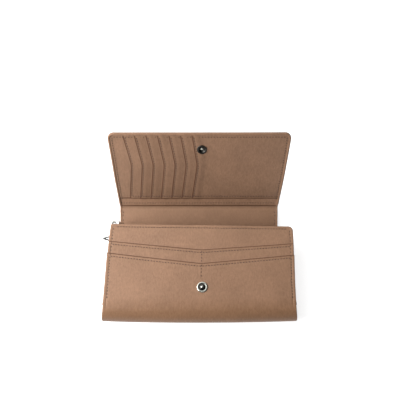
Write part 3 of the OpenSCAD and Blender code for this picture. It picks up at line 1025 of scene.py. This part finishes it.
def make_card_panels():
    inner_end = SPINE_L + FLAP_L - BORDER_W + 0.1
    for index in range(PANEL_COUNT):
        last = index == PANEL_COUNT - 1
        left = chevron(PANEL_FIRST_X + index * PANEL_PITCH)
        right = chevron(PANEL_FIRST_X + (index + 1) * PANEL_PITCH + 3.5)
        if last:
            right = lambda s: cover_half(s) - BORDER_W + 0.1
        lifted = panel_lift if index else constant(0.0)

        def base(x, s, d, left=left, lifted=lifted):
            return pressed(x, s, LONG_POCKET_T + 0.02 + lifted(x - left(s)) + rounding(d, 0.22), 0.02)

        def top(x, s, d, left=left, lifted=lifted):
            height = LONG_POCKET_T + PANEL_T + lifted(x - left(s)) - rounding(d, 0.26)
            by_chevron = groove(x - left(s), CHEVRON_SEAM, 0.16, 0.02)
            return pressed(x, s, height + by_chevron + groove(s - SPINE_L - PANEL_LOW, EDGE_SEAM), 0.04)

        radius = (0.0, 3.0) if last else (0.0, 0.0)
        outline = Outline(left, right, constant(SPINE_L + PANEL_LOW), constant(inner_end), "lb", radius)
        name = f"card_panel_{index + 1}"
        piece = sheet(f"{name}_leather", OUTER, "outer_leather", outline, cover_place, (base, top),
                      dense=SNAP_ROWS if last else (), dense_x=SNAP_COLUMNS if last else (),
                      shift=(40 + 13 * index, 60 - 9 * index),
                      cut="lb", cut_width=PANEL_CUT_W)
        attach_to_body(piece, "flap")
        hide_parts(name)


# ---- body skin and front wall --------------------------------------------------------------

def pocket_edge(edge, apex_reach=5.0):
    """A front pocket's top edge: straight from both sides down to a soft point."""
    side, middle = edge

    def height(x):
        away = math.sqrt((x - EDGE_APEX_X) ** 2 + apex_reach) - math.sqrt(apex_reach)
        return middle + (side - middle) * away / BODY_HALF

    return height


def wrap_half(s):
    """Half the body skin's width: narrower towards the top of the back and in the bottom fold."""
    if s < 0:
        return back_half(FOLD_R - s)
    if s < ARC:
        return BODY_HALF - FRONT_IN * smooth((s / ARC - 0.5) / 0.5)
    return front_half(s - ARC + FOLD_R)


def make_body_skin():
    """One skin from the back round the bottom fold; its far end is the lower front pocket."""
    back_end = -(SPINE.y - FOLD.y) - BACK_SEAM_S
    lower = pocket_edge(LOWER_EDGE)
    outline = Outline(lambda s: -wrap_half(s), wrap_half, constant(back_end),
                      lambda x: ARC + lower(x) - FOLD_R, "lrt")

    def on_pocket(s):
        """0 on the back, 1 where the skin lies on the front's other layers."""
        return smooth((s - ARC + 9) / 24)

    def base(x, s, d):
        inner = -LEATHER_T + (LEATHER_T + POCKET_T + 0.03) * on_pocket(s)
        return inner + rounding(d, 0.36)

    def top(x, s, d):
        on_front = smooth((s - ARC + 4) / 10)
        edge = rounding(d, 0.7 - 0.3 * on_front)
        return 2 * POCKET_T * on_pocket(s) - edge + on_front * groove(d, EDGE_SEAM)

    skin = sheet("body_skin", SKIN, "outer_leather", outline, wrap_place, (base, top),
                 dense=((-3, ARC + 5, 1.1),), cut="t", cut_width=POCKET_CUT_W)
    bend_front(skin)
    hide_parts("bottom_wrap", "lower_pocket")


def front_outline(low, high, inset=0.0, radius=(0.0, 0.0)):
    return Outline(lambda y: inset - front_half(y), lambda y: front_half(y) - inset, low, high, "lrt",
                   radius)


def make_front():
    low = FOLD_R + 8
    corner = (2.0, 5.0)
    wall = front_outline(constant(low), constant(FRONT_H), 0.0, corner)
    leather_piece = sheet("front_wall_leather", OUTER, "outer_leather", wall, front_place,
                          plate(-LEATHER_T, 0.0, 0.7, EDGE_SEAM), shift=(3, 131))
    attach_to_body(leather_piece, "front")
    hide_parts("front_leather")
    inner = front_outline(constant(low), constant(FRONT_H - 0.5), 0.7, corner)
    lining = sheet("front_wall_lining", LINING, "lining_leather", inner, front_place,
                   plate(-SHELL_T, -LEATHER_T - 0.02, 0.3), shift=(77, 31))
    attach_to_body(lining, "front")
    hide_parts("front_lining")
    pocket = front_outline(constant(low + 2), pocket_edge(UPPER_EDGE), 0.5)
    upper = sheet("upper_pocket_leather", OUTER, "outer_leather", pocket, front_place,
                  plate(0.02, POCKET_T, 0.36, EDGE_SEAM), shift=(-9, 64), cut="t", cut_width=POCKET_CUT_W)
    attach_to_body(upper, "front")
    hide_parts("upper_pocket")


# ---- stitches ------------------------------------------------------------------------------

def rounded_route(outline, d, h, low, high, count=10):
    """A seam at a distance inside a sheet's two sides and its rounded top end."""
    radius_left, radius_right = (max(r - d, 0.3) for r in outline.radius)
    s_top = outline.high(0) - d
    route = [(outline.left(low) + d, low, h(low))]
    steps = max(2, int((s_top - radius_left - low) / 4))
    for i in range(1, steps + 1):
        s = low + (s_top - radius_left - low) * i / steps
        route.append((outline.left(s) + d, s, h(s)))
    for i in range(1, count + 1):
        a = math.pi / 2 * i / count
        x = outline.left(s_top) + d + radius_left * (1 - math.cos(a))
        s = s_top - radius_left * (1 - math.sin(a))
        route.append((x, s, h(s)))
    for i in range(count + 1):
        a = math.pi / 2 * i / count
        x = outline.right(s_top) - d - radius_right * (1 - math.sin(a))
        s = s_top - radius_right * (1 - math.cos(a))
        route.append((x, s, h(s)))
    for i in range(1, steps + 1):
        s = s_top - radius_right - (s_top - radius_right - high) * i / steps
        route.append((outline.right(s) - d, s, h(s)))
    return route


def make_flap_stitches():
    end = SPINE_L + FLAP_L
    outline = cover_outline(MID_SPINE, end, "lrt", (FLAP_CORNER, FLAP_CORNER))
    low = SPINE_L + PANEL_LOW - 1
    on_panels = rounded_route(outline, RIM_SEAM, constant(LONG_POCKET_T + PANEL_T - 0.05), low, low)
    inner = stitches("stitches_flap_rim", [on_panels], cover_place)
    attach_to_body(inner, "flap")
    outer = rounded_route(outline, RIM_SEAM, constant(-SHELL_T), MID_SPINE + 1.5, MID_SPINE + 1.5)
    outside = stitches("stitches_flap_outside", [outer], cover_place, side=-1)
    bend_flap(outside)
    routes = []
    for index in range(PANEL_COUNT):
        edge = chevron(PANEL_FIRST_X + index * PANEL_PITCH)
        lift = PANEL_T if index else 0.0
        height = LONG_POCKET_T + PANEL_T + lift - 0.1
        s_low = SPINE_L + PANEL_LOW + EDGE_SEAM
        s_high = SPINE_L + FLAP_L - RIM_SEAM
        route = []
        for i in range(33):
            s = s_low + (s_high - s_low) * i / 32
            route.append((edge(s) + CHEVRON_SEAM, s, height))
        routes.append(route)
    chevrons = stitches("stitches_card_panels", routes, cover_place)
    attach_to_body(chevrons, "flap")
    bottom = []
    s = SPINE_L + PANEL_LOW + EDGE_SEAM
    first = chevron(PANEL_FIRST_X)(s)
    x = first + CHEVRON_SEAM
    while x < SPINE_HALF - RIM_SEAM:
        u = x - first
        index = min(int(u / PANEL_PITCH), PANEL_COUNT - 1)
        rest = u - index * PANEL_PITCH
        lift = panel_lift(rest) if index else 0.0
        bottom.append((x, s, LONG_POCKET_T + PANEL_T + lift - 0.1))
        x += 1.0
    row = stitches("stitches_card_bottom", [bottom], cover_place)
    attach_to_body(row, "flap")
    s = SPINE_L + LONG_POCKET_LOW + LONG_SEAM
    half = cover_half(s) - BORDER_W - 1.5
    pocket = [(-half, s, LONG_POCKET_T - 0.1), (half, s, LONG_POCKET_T - 0.1)]
    long_row = stitches("stitches_long_pocket", [pocket], cover_place)
    bend_flap(long_row)


def make_spine_stitches():
    """Short seams on both faces of the spine, just inside its sides."""
    for face, height, side in (("inside", 0.0, 1), ("outside", -SHELL_T, -1)):
        routes = []
        for sign in (-1, 1):
            x = sign * (SPINE_HALF - RIM_SEAM)
            routes.append([(x, 4.5, height), (x, MID_SPINE - 1.0, height)])
            routes.append([(x, MID_SPINE + 1.0, height), (x, SPINE_L - 4.5, height)])
        rows = stitches(f"stitches_spine_{face}", routes, cover_place, side=side)
        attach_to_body(rows, "spine")


def make_front_stitches():
    half = BODY_HALF
    upper, lower = pocket_edge(UPPER_EDGE), pocket_edge(LOWER_EDGE)
    columns = [-half + EDGE_SEAM + i * (2 * half - 2 * EDGE_SEAM) / 40 for i in range(41)]

    def side_height(y):
        """Outer face of whichever layer lies on top at the sides."""
        if y < LOWER_EDGE[0]:
            return 2 * POCKET_T
        return POCKET_T if y < UPPER_EDGE[0] else 0.0

    sunk = 0.12
    top_y = FRONT_H - EDGE_SEAM
    top = [(-half + 6, top_y, -sunk), (half - 6, top_y, -sunk)]
    upper_row = [(x, upper(x) - EDGE_SEAM, POCKET_T - sunk) for x in columns]
    lower_row = [(x, lower(x) - EDGE_SEAM, 2 * POCKET_T - sunk) for x in columns]
    sides = []
    gap = 0.8
    spans = ((FOLD_R + 8, LOWER_EDGE[0] - gap), (LOWER_EDGE[0] + gap, UPPER_EDGE[0] - gap),
             (UPPER_EDGE[0] + gap, FRONT_H - 4))
    for sign in (-1, 1):
        for low, high in spans:
            h = side_height((low + high) / 2) - sunk
            marks = [low + (high - low) * i / 8 for i in range(9)]
            sides.append([(sign * (front_half(y) - EDGE_SEAM - 0.3), y, h) for y in marks])
    x = EDGE_APEX_X
    seam_end = 40.0
    centre = [[(x, upper(x) - gap, POCKET_T), (x, lower(x) + gap, POCKET_T)],
              [(x, lower(x) - gap, 2 * POCKET_T), (x, seam_end, 2 * POCKET_T)]]
    rows = stitches("stitches_front", [top, upper_row, lower_row, *sides, *centre], front_place)
    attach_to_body(rows, "front")


# ---- snap ----------------------------------------------------------------------------------

def snap_frame(place, x, s, h):
    """A frame on a sheet's face: the third number goes along the sheet's own height."""
    middle = place(x, s, h)
    right = (place(x + 1, s, h) - place(x - 1, s, h)).normalized()
    ahead = (place(x, s + 1, h) - place(x, s - 1, h)).normalized()
    out = right.cross(ahead)
    return lambda a, b, c: middle + right * a + ahead * b + out * c


# Outlines of the snap's turned parts: (radius, height over the leather) points
STUD_FLANGE = ((3.2, -0.6), (4.6, -0.6), (5.1, -0.1), (5.3, 0.25), (5.22, 0.5), (4.95, 0.68), (4.5, 0.78),
               (4.0, 0.76), (3.6, 0.62), (3.3, 0.35), (3.15, 0.0))
STUD_POST = ((0, -0.9), (3.25, -0.5), (3.25, 0.05), (3.1, 0.12), (2.3, 0.1), (1.8, 0.3), (1.62, 0.8),
             (1.7, 1.3), (2.0, 1.6), (2.08, 1.85), (2.0, 2.15), (1.7, 2.32), (1.35, 2.38), (1.3, 2.0),
             (0, 1.95))
STUD_RIVET = ((0, 1.5), (1.28, 1.5), (1.28, 2.1), (1.15, 2.26), (0.8, 2.38), (0.4, 2.43), (0, 2.45))
BACK_PLATE = ((0, 0.1), (4.3, 0.1), (4.5, -0.1), (4.5, -0.3), (4.2, -0.48), (2.4, -0.5), (2.0, -0.75),
              (1.2, -0.8), (0.7, -0.6), (0, -0.55))
SOCKET_RING = ((2.9, 0.3), (3.3, 0.2), (4.7, 0.9), (5.0, 1.4), (5.0, 1.76), (4.75, 1.98), (4.2, 2.08),
               (3.6, 2.02), (3.15, 1.82), (2.95, 1.5))
SOCKET_CUP = ((0, 0.05), (2.8, 0.05), (2.97, 0.2), (2.97, 1.3), (2.8, 1.55), (2.6, 1.45), (2.5, 0.6),
              (2.2, 0.22), (1.3, 0.15), (0, 0.15))
SOCKET_RIVET = ((0, 0.1), (1.3, 0.1), (1.3, 0.22), (1.15, 0.33), (0.7, 0.4), (0, 0.42))
CAP_DOME = ((0, 1.6), (1.9, 1.6), (2.0, 0.2), (5.8, 0.15), (6.0, 0.0), (6.0, -0.2), (5.7, -0.42),
            (5.3, -0.5), (5.05, -0.46), (4.8, -0.55), (4.0, -0.82), (3.0, -1.05), (1.6, -1.18), (0, -1.22))


def make_snap():
    on_front = snap_frame(front_place, SNAP_X, STUD_Y, 2 * POCKET_T)
    behind = snap_frame(front_place, SNAP_X, STUD_Y, -SHELL_T)
    on_flap = snap_frame(cover_place, SNAP_X, SPINE_L + SNAP_FLAP_S, 0.0)
    outside = snap_frame(cover_place, SNAP_X, SPINE_L + SNAP_FLAP_S, -SHELL_T)
    # piece, outline, where it sits, material, slot, body, CAD node that it replaces
    parts = (
        ("snap_stud_metal", STUD_FLANGE, on_front, NICKEL, "nickel", "front", "snap_stud"),
        ("snap_stud_post", STUD_POST, on_front, DARK_METAL, "nickel", "front", None),
        ("snap_stud_rivet", STUD_RIVET, on_front, NICKEL, "nickel", "front", None),
        ("stud_back_plate_metal", BACK_PLATE, behind, RING_METAL, "nickel", "front", "stud_back_plate"),
        ("snap_socket_metal", SOCKET_RING, on_flap, DARK_METAL, "dark_metal", "flap", "snap_socket"),
        ("snap_socket_cup", SOCKET_CUP, on_flap, DARK_METAL, "dark_metal", "flap", None),
        ("snap_socket_rivet", SOCKET_RIVET, on_flap, NICKEL, "nickel", "flap", None),
        ("snap_cap_metal", CAP_DOME, outside, NICKEL, "nickel", "flap", "snap_cap"),
    )
    for name, outline, where, material, slot, body, node in parts:
        piece = lathe(name, outline, where, material, slot)
        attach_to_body(piece, body)
        if node:
            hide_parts(node)


# ---- gussets -------------------------------------------------------------------------------

GUSSET_T = 0.7
GUSSET_SAG = 3.0
GUSSET_CREASE_DIP = 9.0
GUSSET_CREASE_W = 0.14


def make_gusset(side):
    """Pleated side leather from the back over the coin pocket's edge to the front wall."""
    name = "left" if side < 0 else "right"
    rows = 44
    columns = 48
    y_low, y_high = FOLD_R + 3.0, COIN_TOP - 1.5
    points = []
    flat = []
    for i in range(rows + 1):
        share = i / rows
        for j in range(columns + 1):
            k = j / columns
            crease = math.exp(-(((k - 0.5) / GUSSET_CREASE_W) ** 2))
            dip = GUSSET_SAG * math.sin(2 * math.pi * k) ** 2 + GUSSET_CREASE_DIP * share * crease
            y = y_low + (y_high - y_low) * share - dip * share
            open_y = FOLD.y + y - FOLD_R
            back_z = SHELL_T + GUSSET_T / 2
            py, front_z = turned(open_y, 2 * FOLD_R - SHELL_T - GUSSET_T / 2, FOLD, FRONT_REST)
            depth = 1.0 + 5.0 * smooth((y - y_low) / 50)
            inward = min(k, 1 - k) / 0.36
            attach = min(BODY_HALF, back_half(y)) - 1.6 + (1.2 * k)
            x = attach - depth * (0.5 - 0.5 * math.cos(2 * math.pi * min(inward, 1.0)))
            x -= (attach - COIN_HALF - 1.1) * smooth(inward)
            x -= 0.25 * noise.noise(Vector((y / 17, k * 3, side)))
            points.append(Vector((side * x, open_y + (py - open_y) * k, back_z + (front_z - back_z) * k)))
            flat.append((200 + side * 60 * k, y, 0))
    faces = []
    for i in range(rows):
        for j in range(columns):
            a = i * (columns + 1) + j
            faces.append((a, a + 1, a + columns + 2, a + columns + 1))
    piece = mesh_piece(f"gusset_{name}", points, faces, POCKET, "pocket_leather", flat)
    thicken = piece.modifiers.new("thickness", "SOLIDIFY")
    thicken.thickness = GUSSET_T * MM
    thicken.offset = 0
    bend_between(piece)
    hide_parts(f"rear_gusset_{name}", f"front_gusset_{name}")


# ---- coin pocket, zip and strap ring -------------------------------------------------------

def make_coin_pocket():
    for name, side in (("back", -1), ("front", 1)):
        outline = Outline(constant(-COIN_HALF), constant(COIN_HALF), constant(COIN_LOW), constant(COIN_TOP),
                          "lrbt")

        def gap(x, y):
            """Half the room inside, closing towards both sides and the bottom."""
            edge = min(COIN_HALF - abs(x), (y - COIN_LOW))
            return COIN_GAP_EDGE + (COIN_GAP_HALF - COIN_GAP_EDGE) * smooth(edge / 9)

        def place(x, y, h, side=side):
            return coin_place(x, y, COIN_MID + side * (gap(x, y) + h))

        wall = sheet(f"coin_{name}_wall_leather", POCKET, "pocket_leather", outline, place,
                     plate(0.0, COIN_WALL_T, 0.45, EDGE_SEAM), shift=(150, 40 * side))
        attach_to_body(wall, "coin_pocket")
        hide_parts(f"coin_{name}_wall")
        half = COIN_HALF - COIN_SEAM
        low, high = COIN_LOW + COIN_SEAM, COIN_TOP - 8
        route = [(x, y, COIN_THREAD_H) for x, y in ((-half, high), (-half, low), (half, low), (half, high))]
        zip_row = [(x, COIN_TOP - COIN_SEAM, COIN_THREAD_H) for x in (-half, half)]
        rows = stitches(f"stitches_coin_{name}", [route, zip_row], place)
        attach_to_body(rows, "coin_pocket")


def profile_sweep(name, profile, route, material, slot, place):
    """Sweeps a closed (across, z) profile along a route of (x, y, across_x, across_y) rows."""
    points = []
    flat = []
    for i, (x, y, ax, ay) in enumerate(route):
        for across, z in profile:
            points.append(place(x + ax * across, y + ay * across, z))
            flat.append((i * 2.0, across, z))
    faces = []
    skin_rings(faces, 0, len(route), len(profile))
    return mesh_piece(name, points, faces, material, slot, flat)


def make_coin_binding():
    """Thin leather strip folded over the coin pocket's sides and bottom."""
    wide, outer_z, inner_z = 4.2, 1.75, 1.38
    section = ((wide, outer_z), (0.6, outer_z), (-0.2, outer_z - 0.5), (-0.5, 0), (-0.2, 0.5 - outer_z),
               (0.6, -outer_z), (wide, -outer_z), (wide, -inner_z), (0.4, -inner_z), (0.0, -0.8),
               (0.0, 0.8), (0.4, inner_z), (wide, inner_z))
    profile = [(across, COIN_MID + z) for across, z in section]
    radius = 3.0
    half = COIN_HALF
    route = [(-half, COIN_TOP - 7, 1, 0)]
    for i in range(9):
        a = math.pi / 2 * i / 8
        route.append((-half + radius * (1 - math.cos(a)), COIN_LOW + radius * (1 - math.sin(a)),
                      math.cos(a), math.sin(a)))
    for i in range(9):
        a = math.pi / 2 * i / 8
        route.append((half - radius * (1 - math.sin(a)), COIN_LOW + radius * (1 - math.cos(a)),
                      -math.sin(a), math.cos(a)))
    route.append((half, COIN_TOP - 7, -1, 0))
    piece = profile_sweep("coin_binding", profile, route, POCKET, "pocket_leather", coin_place)
    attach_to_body(piece, "coin_pocket")
    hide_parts("coin_edge_binding")


ZIP_L = 162.0
TOOTH_PITCH = 2.25
TEETH_Y = COIN_TOP + 1.0
# One tooth: (z, y) points round it, and (x, share of that size) for the rings along it
TOOTH_SECTION = ((0.62, 0.0), (0.62, 1.15), (0.85, 1.38), (1.35, 1.38), (1.6, 1.1), (1.6, -0.3),
                 (1.0, -0.45))
TOOTH_RINGS = ((0.0, 0.8), (0.12, 1.0), (1.08, 1.0), (1.2, 0.8))
TOOTH_MID_Z, TOOTH_MID_Y = 1.1, 0.45


# The tape round the pocket's top edge: (y over the edge, z from the pocket's middle)
TAPE_SECTION = ((-6.5, 2.5), (-0.4, 2.5), (0.35, 2.2), (0.6, 1.6), (0.62, 1.1), (0.1, 1.1), (0.0, 1.6),
                (-0.4, 1.95), (-6.5, 2.0))


def make_zip():
    tape_half = ZIP_L / 2 + 4
    steps = 60
    for name, side in (("back", -1), ("front", 1)):
        route = [(-tape_half + 2 * tape_half * i / steps, 0, 0, 1) for i in range(steps + 1)]
        shaped = [(COIN_TOP + y, COIN_MID + side * z) for y, z in TAPE_SECTION]
        tape = profile_sweep(f"zip_tape_{name}_cloth", shaped, route, TAPE, "zip_tape", coin_place)
        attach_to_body(tape, "coin_pocket")
        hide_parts(f"zip_tape_{name}")
        teeth = zip_teeth(name, side)
        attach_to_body(teeth, "coin_pocket")
        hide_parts(f"zip_teeth_{name}")
    for node in ("zip_slider", "zip_pull", "zip_stops"):
        soften(frame["nodes"][node], ZIP_METAL)


def zip_teeth(name, side):
    """A row of small rounded teeth clamped on the tape's edge."""
    shift = TOOTH_PITCH / 2 if side > 0 else 0.0
    points = []
    faces = []
    count = int(ZIP_L / TOOTH_PITCH) - 1
    for i in range(count):
        x = -ZIP_L / 2 + i * TOOTH_PITCH + shift
        first = len(points)
        for dx, shrink in TOOTH_RINGS:
            for z, y in TOOTH_SECTION:
                points.append(coin_place(x + dx, TEETH_Y + TOOTH_MID_Y + (y - TOOTH_MID_Y) * shrink,
                                         COIN_MID + side * (TOOTH_MID_Z + (z - TOOTH_MID_Z) * shrink)))
        skin_rings(faces, first, len(TOOTH_RINGS), len(TOOTH_SECTION))
    return mesh_piece(f"zip_teeth_{name}_metal", points, faces, ZIP_METAL, "zip_metal")


def soften(piece, material, width=0.12):
    """Rounds a CAD part's edges a little and gives it a finish."""
    piece.data.materials.clear()
    piece.data.materials.append(material)
    bevel = piece.modifiers.new("soft_edges", "BEVEL")
    bevel.width = width * MM
    bevel.segments = 2
    bevel.limit_method = "ANGLE"
    bevel.angle_limit = math.radians(35)
    bevel.harden_normals = False


def coin_axes(origin):
    """A frame in the coin pocket's plane at a point: across, up the pocket, through it."""
    up = Vector((0, math.cos(COIN_REST), math.sin(COIN_REST)))
    through = Vector((0, -math.sin(COIN_REST), math.cos(COIN_REST)))
    return lambda a, b, c: origin + Vector((a, 0, 0)) + up * b + through * c


def rounded_loop(corners, radius, steps=7):
    """A closed 2D route with rounded corners."""
    made = []
    count = len(corners)
    for i, corner in enumerate(corners):
        corner = Vector(corner)
        to_last = (Vector(corners[i - 1]) - corner).normalized()
        to_next = (Vector(corners[(i + 1) % count]) - corner).normalized()
        half = to_last.angle(to_next) / 2
        cut = radius / math.tan(half)
        centre = corner + (to_last + to_next).normalized() * radius / math.sin(half)
        start = corner + to_last * cut - centre
        end = corner + to_next * cut - centre
        turn = start.angle(end)
        for k in range(steps + 1):
            t = k / steps
            mixed = start * math.sin((1 - t) * turn) + end * math.sin(t * turn)
            made.append(centre + mixed / math.sin(turn))
    return made


def make_strap_ring():
    loop_at, link_at, ring_at = (pivot(f"strap_{part}_swing") for part in ("loop", "link", "ring"))
    wire_r, link_r, ring_r = 0.6, 0.68, 0.82
    corner_r, loop_half = 0.9, 7.5
    reach = link_at.x - loop_at.x
    axes = coin_axes(loop_at)
    corners = ((0, -loop_half), (0, loop_half), (reach, loop_half), (reach, -loop_half))
    route = [axes(p.x, 0, p.y) for p in rounded_loop(corners, corner_r)]
    loop = tube("strap_loop_wire", route, wire_r, NICKEL, "ring_metal")
    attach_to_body(loop, "loop")
    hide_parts("strap_loop")
    lean = ring_at - link_at
    axes = coin_axes(link_at)
    length = lean.length
    tilt = math.asin(lean.x / length)
    route = []
    bend_r = 2.1
    for centre, start in ((0.0, 0.0), (-length, math.pi)):
        for i in range(17):
            a = start + math.pi * i / 16
            x, y = bend_r * math.cos(a), centre + bend_r * math.sin(a)
            across = x * math.cos(tilt) - y * math.sin(tilt)
            route.append(axes(across, y * math.cos(tilt) + x * math.sin(tilt), 0))
    link = tube("strap_link_wire", route, link_r, RING_METAL, "ring_metal")
    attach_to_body(link, "link")
    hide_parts("strap_link")
    axes = coin_axes(ring_at)
    rise = math.radians(4)
    ring_half, ring_depth = 7, 9.5
    corners = ((0, -ring_half), (0, ring_half), (-ring_depth, 0))
    route = [axes(p.x * math.cos(rise), -p.x * math.sin(rise), p.y)
             for p in rounded_loop(corners, corner_r)]
    ring = tube("strap_ring_wire", route, ring_r, RING_METAL, "ring_metal")
    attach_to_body(ring, "ring")
    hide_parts("strap_ring")


def make_side_tab():
    """A narrow leather strap folded round the loop's inner bar and sewn into the pocket."""
    bar = pivot("strap_loop_swing")
    axes = coin_axes(bar)
    drop = 12.0
    eye_r, half_t = 1.08, 0.4
    centreline = [(-0.55, -drop), (-0.6, -4.0), (-0.85, -1.6)]
    for i in range(13):
        a = math.pi * (1.18 - 1.36 * i / 12)
        centreline.append((eye_r * math.cos(a), eye_r * math.sin(a)))
    centreline += [(0.85, -1.6), (0.6, -4.0), (0.55, -drop)]
    centreline = [Vector(p) for p in centreline]
    half_w = 2.5
    section = ((-half_w, 0.0), (-half_w + 0.12, 0.8), (-half_w + 0.5, 1.0), (0, 1.0), (half_w - 0.5, 1.0),
               (half_w - 0.12, 0.8), (half_w, 0.0), (half_w - 0.12, -0.8), (half_w - 0.5, -1.0), (0, -1.0),
               (-half_w + 0.5, -1.0), (-half_w + 0.12, -0.8))
    points = []
    flat = []
    count = len(centreline)
    for i, spot in enumerate(centreline):
        ahead = (centreline[min(i + 1, count - 1)] - centreline[max(i - 1, 0)]).normalized()
        normal = Vector((-ahead.y, ahead.x))
        for c, n in section:
            where = spot + normal * n * half_t
            points.append(axes(where.x, where.y, c))
            flat.append((c + 300, i * 1.4, n))
    faces = []
    skin_rings(faces, 0, count, len(section))
    tab = mesh_piece("side_tab_leather", points, faces, OUTER, "outer_leather", flat)
    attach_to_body(tab, "coin_pocket")
    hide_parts("side_tab")


make_camera()
make_lights()
make_floor()
make_cover()
make_base_panel()
make_card_panels()
make_body_skin()
make_front()
make_flap_stitches()
make_spine_stitches()
make_front_stitches()
make_snap()
make_gusset(-1)
make_gusset(1)
make_coin_pocket()
make_coin_binding()
make_zip()
make_strap_ring()
make_side_tab()
